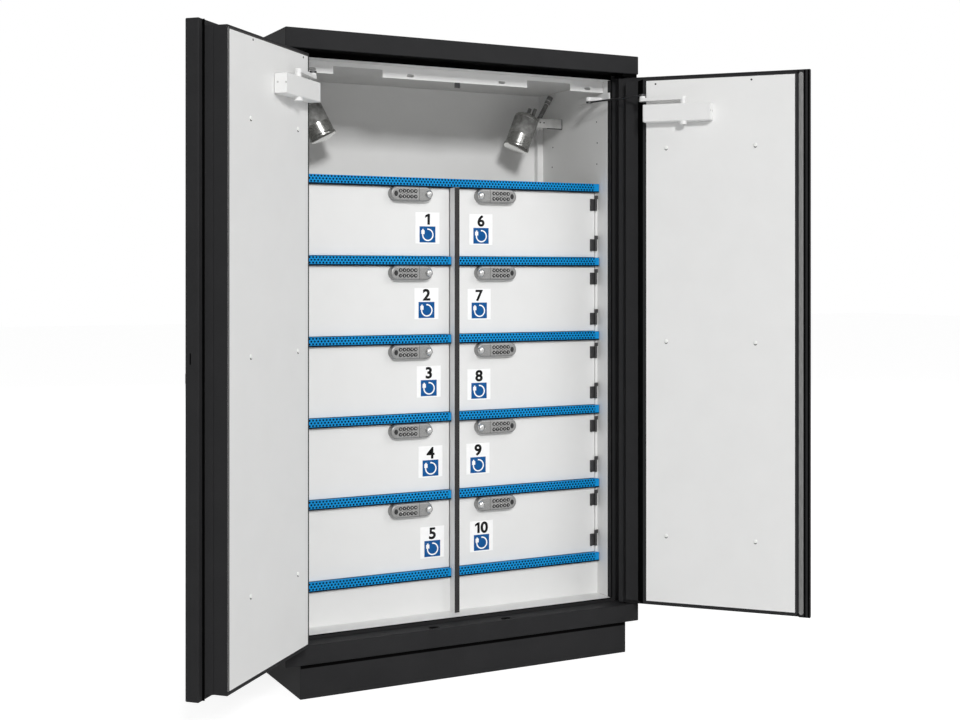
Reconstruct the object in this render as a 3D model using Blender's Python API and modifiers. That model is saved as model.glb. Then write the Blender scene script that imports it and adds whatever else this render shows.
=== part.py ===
# Battery storage cabinet: a fire-resistant carcass with two plug doors and ten lockable compartments.
# Metres, +Z up, +X to the right seen from the front, +Y towards the back wall.
# The origin is on the floor, under the middle of the carcass. The doors stand open, as stored.

import math

import bmesh
import bpy
from mathutils import Matrix, Vector

# Carcass
cabinet_width = 1.200
cabinet_depth = 0.600
plinth_height = 0.098
plinth_side_inset = 0.0465
plinth_front_inset = 0.006
plinth_wall = 0.003
plinth_rail_width = 0.060
sill_height = 0.056
sill_rail = 0.0107
opening_height = 1.690
head_rail = 0.0137
fascia_height = 0.058
side_wall = 0.0625
back_wall = 0.063
frame_setback = 0.068
reveal_depth = 0.020
edge_round = 0.002

# Sheet steel and fits
sheet = 0.0015
gap = 0.0003
running_gap = 0.0004
weld = 0.0005
merge_distance = 0.00001

# Main doors, measured from the cabinet's front plane with the door closed
door_plate_thickness = 0.038
door_step_thickness = 0.029
door_plug_depth = 0.040
door_meeting_gap = 0.003
door_side_margin = 0.002
door_head_gap = 0.0125
door_sill_gap = 0.0042
plug_free_step = 0.0222
plug_hinge_gap = 0.0125
plug_chamfer = 0.025
plug_sill_gap = 0.011
plug_head_gap = 0.016
step_free_lip = 0.0025
step_hinge_gap = 0.006
panel_bottom_margin = 0.0106
panel_top_margin = 0.006
panel_hinge_margin = 0.011
panel_free_margin = 0.0025
panel_rim_overlap = 0.010
meeting_lip_reach = 0.0143
meeting_lip_clearance = 0.0015
meeting_lip_thickness = 0.0195
meeting_lip_end_margin = 0.003
pivot_inset = 0.029
pivot_depth = 0.021
pivot_pin_radius = 0.006
pivot_collar_radius = 0.011
pivot_pin_reach = 0.006
bearing_plate_thickness = 0.0095
bearing_plate_width = 0.058
bearing_plate_depth = 0.055
left_door_angle = math.radians(135)
right_door_angle = math.radians(133)
seal_width = 0.014
seal_thickness = 0.004
seal_step_gap = 0.0005
seal_end_margin = 0.0115
latch_slot_offset = 0.123
latch_slot_depth = 0.017
latch_slot_length = 0.030
latch_slot_width = 0.010

# Turning handle on the left door's outer face
handle_height = 0.955
handle_edge_distance = 0.079
handle_hub_radius = 0.021
handle_hub_thickness = 0.010
handle_neck_radius = 0.010
handle_projection = 0.038
handle_lever_length = 0.120
handle_lever_height = 0.028
handle_lever_thickness = 0.012

# Door closers
closer_length = 0.215
closer_height = 0.055
closer_depth = 0.0375
closer_drop = 0.101
closer_overhang = 0.003
closer_cap_radius = 0.012
closer_cap_height = 0.010
spindle_edge_distance = 0.123
spindle_depth = 0.028
spindle_radius = 0.006
spindle_hub_radius = 0.009
spindle_hub_height = 0.0117
arm_width = 0.020
arm_thickness = 0.010
elbow_collar_height = 0.0065
elbow_collar_radius = 0.009
rod_radius = 0.003
rod_eye_radius = 0.010
rod_eye_thickness = 0.006
link_pin_radius = 0.004
shoe_pivot_inset = 0.0475
shoe_pivot_depth = 0.125
shoe_plate_thickness = 0.0067
shoe_plate_start = 0.070
shoe_plate_length = 0.186
shoe_plate_height = 0.0225
shoe_plate_rise = 0.0029
shoe_lug_thickness = 0.013
shoe_lug_radius = 0.012

# Ceiling valance
valance_depth = 0.115
valance_drop = 0.0365
valance_flange = 0.012
notch_side_distance = 0.2065
notch_width = 0.160
notch_height = 0.0233
valance_slot_side_distances = (0.3785, 0.0605)
valance_slot_length = 0.024
valance_slot_height = 0.009
valance_slot_rise = 0.0105

# Compartments
row_count = 5
lowest_shelf_top = 0.3013
shelf_pitch = 0.24366
lip_height = 0.028
lip_depth = 0.136
lip_return = 0.010
lip_end_gap = 0.0025
leaf_depth = 0.149
leaf_thickness = 0.018
leaf_sheet = 0.0012
leaf_gap = 0.002
leaf_post_gap = 0.0033
leaf_hinge_gap = 0.003
post_half_width = 0.0077
post_depth = 0.112
post_notch_gap = 0.0013
divider_stop_half_width = 0.030
upright_width = 0.0092
upright_depth = 0.030

# Compartment hinges
hinge_barrel_radius = 0.0045
hinge_pin_radius = 0.002
hinge_fixed_height = 0.012
hinge_moving_height = 0.039
hinge_pin_length = 0.025
hinge_plate_width = 0.0155
hinge_plate_thickness = 0.0025
hinge_axis_advance = 0.0055
hinge_axis_inset = 0.0015
hinge_drops = (0.0216, 0.1546)

# Keypad locks
lock_length = 0.141
lock_height = 0.0435
lock_depth = 0.023
lock_bevel = 0.005
lock_bevel_profile = 0.5
lock_bevel_steps = 2
lock_post_distance = 0.0775
lock_top_margin = 0.0015
knob_end_distance = 0.0135
knob_radius = 0.011
knob_rise = 0.010
knob_rim_height = 0.0025
knob_shoulder_radius = 0.009
knob_shoulder_height = 0.0072
knob_crown_radius = 0.005
knob_crown_height = 0.0095
knob_spindle_radius = 0.0045
cam_length = 0.062
cam_tail = 0.010
cam_width = 0.012
cam_thickness = 0.003

# Fire extinguishers in the top space
bottle_radius = 0.042
bottle_length = 0.132
bottle_rim_radius = 0.0445
bottle_rim_height = 0.008
bottle_cap_radius = 0.012
bottle_cap_height = 0.010
bottle_shoulder_height = 0.017
bottle_neck_radius = 0.0335
bottle_foot_radius = 0.0355
left_bottle_side_distance = 0.1945
right_bottle_side_distance = 0.1785
bottle_depth = 0.390
bottle_base_drop = 0.204
bottle_tilt = math.radians(23)
bracket_height = 0.032
bracket_depth = 0.020
bracket_rise = 0.074
release_rod_radius = 0.005
release_head_radius = 0.0095
release_head_length = 0.032
release_rod_length = 0.110
release_rod_tilt = math.radians(30)
release_rod_wall_distance = 0.0885
release_rod_setback = 0.0125

# Cable duct in the right back corner
duct_width = 0.022
duct_drop = 0.120

# Facets of round pieces, and the angle up to which their shading is smooth
round_sides = 24
small_round_sides = 12
pin_sides = 6
slot_end_steps = 4
case_end_steps = 6
bar_end_steps = 8
smooth_angle = math.radians(35)
unit_cube = 1.0

# Levels and planes that follow from the sizes above
half_width = cabinet_width / 2
front = -cabinet_depth / 2
back = cabinet_depth / 2
sill_bottom = plinth_height + gap
sill_top = sill_bottom + sill_height
opening_bottom = sill_top + sill_rail
opening_top = opening_bottom + opening_height
fascia_bottom = opening_top + head_rail
cabinet_top = fascia_bottom + fascia_height
opening_half = half_width - side_wall
inner_back = back - back_wall
frame_y = front + frame_setback
lip_y = front + lip_depth
leaf_y = front + leaf_depth
leaf_back_y = leaf_y + leaf_thickness
upright_x = opening_half - gap - upright_width
shelf_tops = [lowest_shelf_top + shelf_pitch * (row_count - row) for row in range(row_count + 1)]
hinge_x = upright_x - hinge_axis_inset
hinge_y = leaf_y - hinge_axis_advance
pivot_x = half_width - pivot_inset
pivot_y = front + pivot_depth
plate_back_y = front + door_plate_thickness
step_back_y = plate_back_y + door_step_thickness
plug_back_y = step_back_y + door_plug_depth
plug_panel_y = plug_back_y - sheet

# Collections and materials
for item in list(bpy.data.objects):
    bpy.data.objects.remove(item)

parts = bpy.data.collections.new("battery_storage_cabinet")
cutters = bpy.data.collections.new("cutters")
bpy.context.scene.collection.children.link(parts)
bpy.context.scene.collection.children.link(cutters)


def linear(channel):
    return channel / 12.92 if channel <= 0.04045 else ((channel + 0.055) / 1.055) ** 2.4


def material(name, colour, roughness, metallic=0.0):
    made = bpy.data.materials.new(name)
    made.use_nodes = True
    shader = made.node_tree.nodes["Principled BSDF"]
    red, green, blue = (linear(int(colour[i:i + 2], 16) / 255) for i in (0, 2, 4))
    shader.inputs["Base Color"].default_value = (red, green, blue, 1.0)
    shader.inputs["Roughness"].default_value = roughness
    shader.inputs["Metallic"].default_value = metallic
    return made


black_coat = material("black_powder_coat", "2E2E2F", 0.55)
white_coat = material("white_powder_coat", "E4E4E3", 0.45)
blue_coat = material("blue_powder_coat", "0B6FB3", 0.45)
post_coat = material("dark_grey_powder_coat", "3C3A3A", 0.5)
mineral_board = material("mineral_board", "CFC9BC", 0.9)
steel = material("stainless_steel", "B4B4B2", 0.3, 1.0)
zinc_lock = material("grey_lock_enamel", "9C9C9C", 0.4, 0.6)
seal_foam = material("grey_seal", "6E6E6D", 0.8)


# Building blocks

def mesh_object(name, mesh, collection):
    made = bpy.data.objects.new(name, mesh)
    collection.objects.link(made)
    return made


def tool(mesh):
    made = mesh_object("cutter", mesh, cutters)
    made.hide_render = True
    made.display_type = "WIRE"
    return made


def mesh_from(work):
    bmesh.ops.recalc_face_normals(work, faces=work.faces)
    mesh = bpy.data.meshes.new("shape")
    work.to_mesh(mesh)
    work.free()
    return mesh


def box(low, high):
    work = bmesh.new()
    size = Vector(high) - Vector(low)
    middle = (Vector(high) + Vector(low)) / 2
    place = Matrix.Translation(middle) @ Matrix.Diagonal((*size, 1))
    bmesh.ops.create_cube(work, size=unit_cube, matrix=place)
    return mesh_from(work)


def round_bar(start, end, radius, sides=round_sides):
    work = bmesh.new()
    span = Vector(end) - Vector(start)
    turn = span.to_track_quat("Z", "Y").to_matrix().to_4x4()
    place = Matrix.Translation((Vector(start) + Vector(end)) / 2) @ turn
    bmesh.ops.create_cone(
        work,
        cap_ends=True,
        segments=sides,
        radius1=radius,
        radius2=radius,
        depth=span.length,
        matrix=place,
    )
    return mesh_from(work)


# The mesh of an object with its modifiers applied; the object itself goes.
def baked(holder):
    bpy.context.view_layer.update()
    finished = holder.evaluated_get(bpy.context.evaluated_depsgraph_get())
    mesh = bpy.data.meshes.new_from_object(finished)
    bpy.data.objects.remove(holder)
    return mesh


# A flat outline in plan, thickened from low to high along Z, or along Y when it stands upright.
def prism(outline, low, high, upright=False):
    curve = bpy.data.curves.new("outline", "CURVE")
    curve.dimensions = "2D"
    curve.fill_mode = "BOTH"
    curve.extrude = (high - low) / 2
    spline = curve.splines.new("POLY")
    spline.points.add(len(outline) - 1)
    for point, (across, along) in zip(spline.points, outline):
        point.co = (across, along, 0, 1)
    spline.use_cyclic_u = True
    middle = (low + high) / 2
    turn = Matrix.Rotation(math.pi / 2, 4, "X") if upright else Matrix()
    offset = Vector((0, middle, 0)) if upright else Vector((0, 0, middle))
    work = bmesh.new()
    work.from_mesh(baked(mesh_object("outline", curve, cutters)))
    bmesh.ops.remove_doubles(work, verts=work.verts, dist=merge_distance)
    work.transform(Matrix.Translation(offset) @ turn)
    return mesh_from(work)


# A profile of radius and height pairs, listed from its top down its outer side, turned about Z.
def turned(profile, sides):
    corners = [(radius, 0, height) for radius, height in profile]
    links = [(i, i + 1) for i in range(len(profile) - 1)]
    mesh = bpy.data.meshes.new("profile")
    mesh.from_pydata(corners, links, [])
    holder = mesh_object("profile", mesh, cutters)
    screw = holder.modifiers.new("turn", "SCREW")
    screw.axis = "Z"
    screw.steps = sides
    screw.render_steps = sides
    screw.use_merge_vertices = True
    screw.merge_threshold = merge_distance
    work = bmesh.new()
    work.from_mesh(baked(holder))
    bmesh.ops.remove_doubles(work, verts=work.verts, dist=merge_distance)
    return mesh_from(work)


def moved(mesh, matrix):
    copy = mesh.copy()
    copy.transform(matrix)
    return copy


def mirrored(mesh):
    work = bmesh.new()
    work.from_mesh(mesh)
    work.transform(Matrix.Diagonal((-1, 1, 1, 1)))
    bmesh.ops.reverse_faces(work, faces=work.faces)
    copy = bpy.data.meshes.new("mirrored")
    work.to_mesh(copy)
    work.free()
    return copy


def rounded(mesh, width):
    holder = mesh_object("rounded", mesh, cutters)
    bevel = holder.modifiers.new("edges", "BEVEL")
    bevel.width = width
    bevel.segments = 1
    bevel.limit_method = "ANGLE"
    return baked(holder)


# One body from a first shape, the shapes welded to it and the shapes cut out of it, in that order.
def shaped(first, welds=(), cuts=()):
    holder = mesh_object("shaped", first, cutters)
    for operation, shapes in (("UNION", welds), ("DIFFERENCE", cuts)):
        for shape in shapes:
            boolean = holder.modifiers.new(operation.lower(), "BOOLEAN")
            boolean.operation = operation
            boolean.solver = "EXACT"
            boolean.object = tool(shape)
    return baked(holder)


def smooth(mesh, coat):
    mesh.materials.clear()
    mesh.materials.append(coat)
    mesh.shade_smooth()
    mesh.set_sharp_from_angle(angle=smooth_angle)


# A fixed piece, modelled where it stands.
def fixed(name, mesh, coat):
    smooth(mesh, coat)
    return mesh_object(name, mesh, parts)


# A moving piece, modelled as it stands with the doors closed, with its origin on its joint's axis.
def moving(name, mesh, coat, axis_point, carrier=None, turn=0.0):
    local = moved(mesh, Matrix.Translation(-Vector(axis_point)))
    smooth(local, coat)
    made = mesh_object(name, local, parts)
    made.location = Vector(axis_point) - (carrier["rest"] if carrier else Vector((0, 0, 0)))
    made.rotation_euler = (0, 0, turn)
    if carrier:
        made.parent = carrier["empty"]
    return made


# Plinth: a welded ring with a channel across its middle
def build_plinth():
    half = half_width - plinth_side_inset
    depth = back - plinth_front_inset
    rail = plinth_rail_width / 2
    over = plinth_height + weld
    bays = [
        box((-half + plinth_wall, low, -weld), (half - plinth_wall, high, over))
        for low, high in ((-depth + plinth_wall, -rail), (rail, depth - plinth_wall))
    ]
    channel = box(
        (-half + plinth_wall, -rail + plinth_wall, plinth_wall),
        (half - plinth_wall, rail - plinth_wall, over),
    )
    ring = box((-half, -depth, 0), (half, depth, plinth_height))
    fixed("plinth", shaped(ring, cuts=[*bays, channel]), black_coat)


# Roof and base: sheet trays whose fronts are the fascia and the sill, holding the doors' pivots
def tray(span, mouth_span, rail_span, bore_span):
    low, high = span
    reach = opening_half - gap
    inside = half_width - sheet
    shell = rounded(box((-half_width, front, low), (half_width, back, high)), edge_round)
    hollow = box((-inside, front + sheet, low + sheet), (inside, back - sheet, high - sheet))
    mouth = box((-inside, frame_y + sheet, mouth_span[0]), (inside, back - sheet, mouth_span[1]))
    rail = box((-reach, frame_y, rail_span[0]), (reach, frame_y + sheet, rail_span[1]))
    bores = [
        round_bar(
            (side * pivot_x, pivot_y, bore_span[0]),
            (side * pivot_x, pivot_y, bore_span[1]),
            pivot_pin_radius + running_gap,
            small_round_sides,
        )
        for side in (-1, 1)
    ]
    return shell, rail, [hollow, mouth, *bores]


# The plate under the fascia that carries a door's upper pivot pin
head_bearing = fascia_bottom - bearing_plate_thickness


def bearing_plate(side):
    outer = side * (half_width - 2 * edge_round)
    inner = side * (half_width - bearing_plate_width)
    return box(
        (min(outer, inner), front + 2 * edge_round, head_bearing),
        (max(outer, inner), front + bearing_plate_depth, fascia_bottom + sheet / 2),
    )


def build_roof_and_base():
    middle = (fascia_bottom + cabinet_top) / 2
    mouth = (fascia_bottom - weld, middle)
    rail_span = (opening_top, fascia_bottom + sheet / 2)
    bore_span = (head_bearing - weld, middle)
    shell, rail, cuts = tray((fascia_bottom, cabinet_top), mouth, rail_span, bore_span)
    plated = shaped(shell, welds=[bearing_plate(side) for side in (-1, 1)])
    fixed("roof_panel", shaped(shaped(plated, cuts=cuts), welds=[rail]), black_coat)

    middle = (sill_bottom + sill_top) / 2
    mouth = (middle, sill_top + weld)
    rail_span = (sill_top - sheet / 2, opening_bottom)
    shell, rail, cuts = tray((sill_bottom, sill_top), mouth, rail_span, mouth)
    for side in (-1, 1):
        slot_x = side * latch_slot_offset
        slot_y = front + latch_slot_depth
        cuts.append(
            box(
                (slot_x - latch_slot_length / 2, slot_y - latch_slot_width / 2, middle),
                (slot_x + latch_slot_length / 2, slot_y + latch_slot_width / 2, sill_top + weld),
            )
        )
    fixed("base_panel", shaped(shaped(shell, cuts=cuts), welds=[rail]), black_coat)


# Outer sides fold round the front into the jambs and their reveals
def build_outer_skins():
    rear = back - sheet - gap
    outline = [
        (half_width, rear),
        (half_width, frame_y),
        (opening_half, frame_y),
        (opening_half, frame_y + reveal_depth),
        (opening_half + sheet, frame_y + reveal_depth),
        (opening_half + sheet, frame_y + sheet),
        (half_width - sheet, frame_y + sheet),
        (half_width - sheet, rear),
    ]
    low, high = sill_top + gap, fascia_bottom - gap
    side = prism(outline, low, high)
    fixed("outer_right_side", side, black_coat)
    fixed("outer_left_side", mirrored(side), black_coat)
    fixed("outer_back", box((-half_width, back - sheet, low), (half_width, back, high)), black_coat)


# Mineral boards between the skins and the linings, open at the front
def build_insulation():
    inset = sheet + gap
    block = box(
        (-half_width + inset, frame_y + inset, sill_bottom + inset),
        (half_width - inset, back - inset, cabinet_top - inset),
    )
    room = box(
        (-opening_half - inset, frame_y - weld, opening_bottom - inset),
        (opening_half + inset, inner_back + inset, opening_top + inset),
    )
    reveal = box(
        (-opening_half - inset, frame_y - weld, sill_top),
        (opening_half + inset, frame_y + reveal_depth + gap, fascia_bottom),
    )
    fixed("insulation", shaped(block, cuts=[room, reveal]), mineral_board)


# White linings, the cable duct folded into the right one
def build_linings():
    low, high = opening_bottom + gap, opening_top - gap
    start = frame_y + reveal_depth + gap
    side = box((opening_half, start, low), (opening_half + sheet, inner_back + sheet, high))
    fixed("lining_left", mirrored(side), white_coat)
    duct = box(
        (opening_half - duct_width, inner_back - gap - duct_width, shelf_tops[0] + gap),
        (opening_half + weld, inner_back - gap, opening_top - duct_drop),
    )
    fixed("lining_right", shaped(side, welds=[duct]), white_coat)
    reach = opening_half - gap
    fixed("lining_back", box((-reach, inner_back, low), (reach, inner_back + sheet, high)), white_coat)
    ceiling = box((-reach, frame_y + sheet + gap, opening_top), (reach, inner_back, opening_top + sheet))
    fixed("lining_ceiling", ceiling, white_coat)


# Valance under the ceiling, notched and slotted, with a hemmed lower edge
def build_valance():
    near = front + valance_depth
    low, high = opening_top - valance_drop, opening_top - gap
    reach = opening_half - gap
    plate = box((-reach, near, low), (reach, near + sheet, high))
    hem = box((-reach, near, low), (reach, near + valance_flange, low + sheet))
    cuts = []
    for side in (-1, 1):
        notch_x = side * (opening_half - notch_side_distance)
        cuts.append(
            box(
                (notch_x - notch_width / 2, near - weld, low - weld),
                (notch_x + notch_width / 2, near + valance_flange + weld, low + notch_height),
            )
        )
        for distance in valance_slot_side_distances:
            middle = (side * (opening_half - distance), low + valance_slot_rise)
            outline = stadium(middle, valance_slot_length, valance_slot_height, slot_end_steps)
            cuts.append(prism(outline, near - weld, near + sheet + weld, upright=True))
    fixed("ceiling_valance", shaped(plate, welds=[hem], cuts=cuts), white_coat)


# An oblong with round ends, as points round its outline
def stadium(middle, length, height, steps):
    radius = height / 2
    reach = length / 2 - radius
    points = []
    for side in (1, -1):
        for step in range(steps + 1):
            angle = -math.pi / 2 + math.pi * step / steps
            across = side * (reach + radius * math.cos(angle))
            along = side * radius * math.sin(angle)
            points.append((middle[0] + across, middle[1] + along))
    return points


# Shelves with a turned-down front lip; all but the top one are notched round the centre post
def build_shelves():
    rear = inner_back - gap
    plate_half = upright_x - gap
    lip_half = opening_half - lip_end_gap
    for number, top in enumerate(shelf_tops, start=1):
        low = top - lip_height
        plate = box((-plate_half, lip_y, top - sheet), (plate_half, rear, top))
        lip = box((-lip_half, lip_y, low), (lip_half, lip_y + sheet, top))
        hem = box((-lip_half, lip_y, low), (lip_half, lip_y + lip_return, low + sheet))
        notch_half = post_half_width + post_notch_gap
        notch = box((-notch_half, lip_y - weld, low - weld), (notch_half, leaf_y + gap, top + weld))
        cuts = [notch] if number > 1 else []
        fixed(f"shelf_{number}", shaped(plate, welds=[lip, hem], cuts=cuts), blue_coat)


# Centre post with a divider behind it in each row, whose front flange stops the compartment doors
def build_centre_post():
    post = box(
        (-post_half_width, front + post_depth, opening_bottom + gap),
        (post_half_width, leaf_y, shelf_tops[0] - lip_height - gap),
    )
    welds = []
    for upper, lower in zip(shelf_tops, shelf_tops[1:]):
        low, high = lower + gap, upper - sheet - gap
        welds.append(box((-sheet / 2, leaf_y - weld, low), (sheet / 2, inner_back - gap, high)))
        welds.append(
            box(
                (-divider_stop_half_width, leaf_back_y + weld, low),
                (divider_stop_half_width, leaf_back_y + weld + sheet, high),
            )
        )
    fixed("centre_post", shaped(post, welds=welds), post_coat)


def hinge_levels(upper_shelf_top):
    return [upper_shelf_top - lip_height - drop for drop in hinge_drops]


# Rack frame: floor pan, kick panel and the two uprights that carry the fixed hinge halves
def build_rack_frame():
    reach = opening_half - gap
    face = leaf_y + gap
    pan = box(
        (-reach, frame_y + sheet + gap, opening_bottom - sheet),
        (reach, inner_back - gap, opening_bottom),
    )
    kick = box((-reach, face, opening_bottom - weld), (reach, face + sheet, shelf_tops[-1] - sheet - gap))
    welds = [kick]
    for side in (-1, 1):
        welds.append(
            box(
                (min(side * upright_x, side * reach), face, opening_bottom - weld),
                (max(side * upright_x, side * reach), face + upright_depth, shelf_tops[0]),
            )
        )
        for upper in shelf_tops[:-1]:
            for level in hinge_levels(upper):
                low, high = level + gap, level + hinge_fixed_height
                axis = (side * hinge_x, hinge_y)
                barrel = round_bar((*axis, low), (*axis, high), hinge_barrel_radius, small_round_sides)
                pin_end = low - hinge_pin_length
                pin = round_bar((*axis, pin_end), (*axis, low + weld), hinge_pin_radius, pin_sides)
                wing = box(
                    (min(side * hinge_x, side * reach), leaf_y - hinge_plate_thickness, low),
                    (max(side * hinge_x, side * reach), face + weld, high),
                )
                welds.append(shaped(barrel, welds=[wing, pin]))
    fixed("rack_frame", shaped(pan, welds=welds), white_coat)


# The lock case with the rim of its front face rounded over
def front_rounded(case):
    work = bmesh.new()
    work.from_mesh(case)
    face_y = min(vert.co.y for vert in work.verts)
    ahead = [edge for edge in work.edges if all(vert.co.y < face_y + weld for vert in edge.verts)]
    rim = [edge for edge in ahead if edge.calc_face_angle() > smooth_angle]
    bmesh.ops.bevel(
        work,
        geom=rim,
        offset=lock_bevel,
        segments=lock_bevel_steps,
        affect="EDGES",
        profile=lock_bevel_profile,
    )
    return mesh_from(work)


# Compartment doors: a folded tray with the lock case and the moving hinge halves, modelled on the right
def build_leaf(upper, lower):
    inner = post_half_width + leaf_post_gap
    outer = upright_x - leaf_hinge_gap
    low, high = lower + leaf_gap, upper - lip_height - leaf_gap
    skin = box((inner, leaf_y, low), (outer, leaf_back_y, high))
    hollow = box(
        (inner + leaf_sheet, leaf_y + leaf_sheet, low + leaf_sheet),
        (outer - leaf_sheet, leaf_back_y + weld, high - leaf_sheet),
    )
    knob_x, knob_z = knob_place(upper)
    middle = (lock_post_distance + lock_length / 2, knob_z)
    outline = stadium(middle, lock_length, lock_height, case_end_steps)
    case = front_rounded(prism(outline, leaf_y - lock_depth, leaf_y + weld, upright=True))
    bore = round_bar(
        (knob_x, leaf_y - lock_depth - weld, knob_z),
        (knob_x, leaf_y + leaf_sheet + weld, knob_z),
        knob_spindle_radius + running_gap,
        small_round_sides,
    )
    welds = [case]
    bores = [bore]
    for level in hinge_levels(upper):
        bottom, top = level - hinge_moving_height, level
        axis = (hinge_x, hinge_y)
        barrel = round_bar((*axis, bottom), (*axis, top), hinge_barrel_radius, small_round_sides)
        wing = box(
            (hinge_x - hinge_plate_width, leaf_y - hinge_plate_thickness, bottom),
            (hinge_x, leaf_y + weld, top),
        )
        relief = box(
            (outer, leaf_y - weld, bottom - weld),
            (hinge_x + weld, leaf_y + 2 * weld, top + weld),
        )
        welds.append(shaped(barrel, welds=[shaped(wing, cuts=[relief])]))
        bore_radius = hinge_pin_radius + running_gap
        bores.append(round_bar((*axis, bottom - weld), (*axis, top + weld), bore_radius, pin_sides))
    return shaped(shaped(skin, cuts=[hollow]), welds=welds, cuts=bores)


def knob_place(upper):
    lock_top = upper - lip_height - lock_top_margin
    return lock_post_distance + knob_end_distance, lock_top - lock_height / 2


# Lock knob, spindle and cam; unlocked, the cam hangs straight down
def build_knob(upper):
    knob_x, knob_z = knob_place(upper)
    base_y = leaf_y - lock_depth - gap
    cam_y = leaf_back_y + weld + sheet + weld
    reach = cam_y + cam_thickness - base_y
    profile = [
        (0, knob_rise),
        (knob_crown_radius, knob_crown_height),
        (knob_shoulder_radius, knob_shoulder_height),
        (knob_radius, knob_rim_height),
        (knob_radius, 0),
        (knob_spindle_radius, 0),
        (knob_spindle_radius, -reach),
        (0, -reach),
    ]
    stem = moved(
        turned(profile, small_round_sides),
        Matrix.Translation((knob_x, base_y, knob_z)) @ Matrix.Rotation(math.pi / 2, 4, "X"),
    )
    cam = box(
        (knob_x - cam_width / 2, cam_y, knob_z - cam_length),
        (knob_x + cam_width / 2, cam_y + cam_thickness, knob_z + cam_tail),
    )
    return shaped(stem, welds=[cam])


def build_compartments():
    upper, lower = shelf_tops[0], shelf_tops[1]
    leaf = build_leaf(upper, lower)
    knob = build_knob(upper)
    knob_x, knob_z = knob_place(upper)
    leaf_axis = Vector((hinge_x, hinge_y, (upper + lower) / 2))
    knob_axis = Vector((knob_x, leaf_y, knob_z))
    for side, first in ((-1, 1), (1, 1 + row_count)):
        flip = Matrix.Diagonal((side, 1, 1))
        leaf_mesh = leaf if side > 0 else mirrored(leaf)
        knob_mesh = knob if side > 0 else mirrored(knob)
        leaf_local = moved(leaf_mesh, Matrix.Translation(-(flip @ leaf_axis)))
        knob_local = moved(knob_mesh, Matrix.Translation(-(flip @ knob_axis)))
        smooth(leaf_local, white_coat)
        smooth(knob_local, zinc_lock)
        for row in range(row_count):
            drop = Vector((0, 0, upper - shelf_tops[row]))
            made = mesh_object(f"compartment_door_{first + row}", leaf_local, parts)
            made.location = flip @ leaf_axis - drop
            made = mesh_object(f"lock_knob_{first + row}", knob_local, parts)
            made.location = flip @ knob_axis - drop


# Main doors, modelled closed on the right-hand side
door_low = sill_top + door_sill_gap
door_high = fascia_bottom - door_head_gap
plug_low = opening_bottom + plug_sill_gap
plug_high = opening_top - plug_head_gap
plate_free_x = door_meeting_gap / 2
plate_hinge_x = half_width - door_side_margin
plug_free_x = plate_free_x + plug_free_step
plug_hinge_x = opening_half - plug_hinge_gap
plug_rim_x = plug_hinge_x - plug_chamfer
plug_rim_y = plug_panel_y - gap
step_free_x = plug_free_x - step_free_lip
panel_free_x = plug_free_x + panel_free_margin
panel_hinge_x = plug_rim_x - panel_hinge_margin
panel_low = plug_low + panel_bottom_margin
panel_high = plug_high - panel_top_margin
meeting_lip_y = plate_back_y + meeting_lip_thickness


def plug_outline(inset, start_y, end_y):
    return [
        (step_free_x + inset, start_y),
        (step_free_x + inset, step_back_y - inset),
        (plug_free_x + inset, step_back_y - inset),
        (plug_free_x + inset, end_y),
        (plug_rim_x - inset, end_y),
        (plug_hinge_x - inset, step_back_y - inset),
        (pivot_x - step_hinge_gap - inset, step_back_y - inset),
        (pivot_x - step_hinge_gap - inset, start_y),
    ]


# The opening in the plug's back that the panel covers
def panel_mouth(inset, near, far):
    margin = panel_rim_overlap + inset
    return box(
        (panel_free_x + margin, near, panel_low + margin),
        (panel_hinge_x - margin, far, panel_high - margin),
    )


def build_door_shell():
    slab = box((plate_free_x, front, door_low), (plate_hinge_x, plate_back_y, door_high))
    plate = rounded(slab, edge_round)
    plug = prism(plug_outline(0, plate_back_y - weld, plug_rim_y), plug_low, plug_high)
    plate_room = box(
        (plate_free_x + sheet, front + sheet, door_low + sheet),
        (plate_hinge_x - sheet, plate_back_y - sheet, door_high - sheet),
    )
    outline = plug_outline(sheet, plate_back_y - 2 * sheet, plug_rim_y - sheet)
    plug_room = prism(outline, plug_low + sheet, plug_high - sheet)
    mouth = panel_mouth(0, plug_rim_y - sheet - weld, plug_back_y)

    def pivot(low, high, radius, sides):
        return round_bar((pivot_x, pivot_y, low), (pivot_x, pivot_y, high), radius, sides)

    pin_top = fascia_bottom + pivot_pin_reach
    pin_bottom = sill_top - pivot_pin_reach
    pins = [
        pivot(door_high - sheet / 2, head_bearing - gap, pivot_collar_radius, round_sides),
        pivot(head_bearing - gap - weld, pin_top, pivot_pin_radius, small_round_sides),
        pivot(sill_top + gap, door_low + sheet / 2, pivot_collar_radius, round_sides),
        pivot(pin_bottom, sill_top + weld, pivot_pin_radius, small_round_sides),
    ]
    hollow = shaped(shaped(plate, welds=[plug]), cuts=[plate_room, plug_room, mouth])
    return shaped(hollow, welds=pins)


def build_door_core():
    inset = sheet + gap
    slab = box(
        (plate_free_x + inset, front + inset, door_low + inset),
        (plate_hinge_x - inset, plate_back_y - inset, door_high - inset),
    )
    outline = plug_outline(inset, plate_back_y - 2 * inset, plug_rim_y - inset)
    plug = prism(outline, plug_low + inset, plug_high - inset)
    pad = panel_mouth(gap, plug_rim_y - inset - weld, plug_rim_y)
    return shaped(slab, welds=[plug, pad])


def build_door_panel():
    return box((panel_free_x, plug_panel_y, panel_low), (panel_hinge_x, plug_back_y, panel_high))


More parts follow.
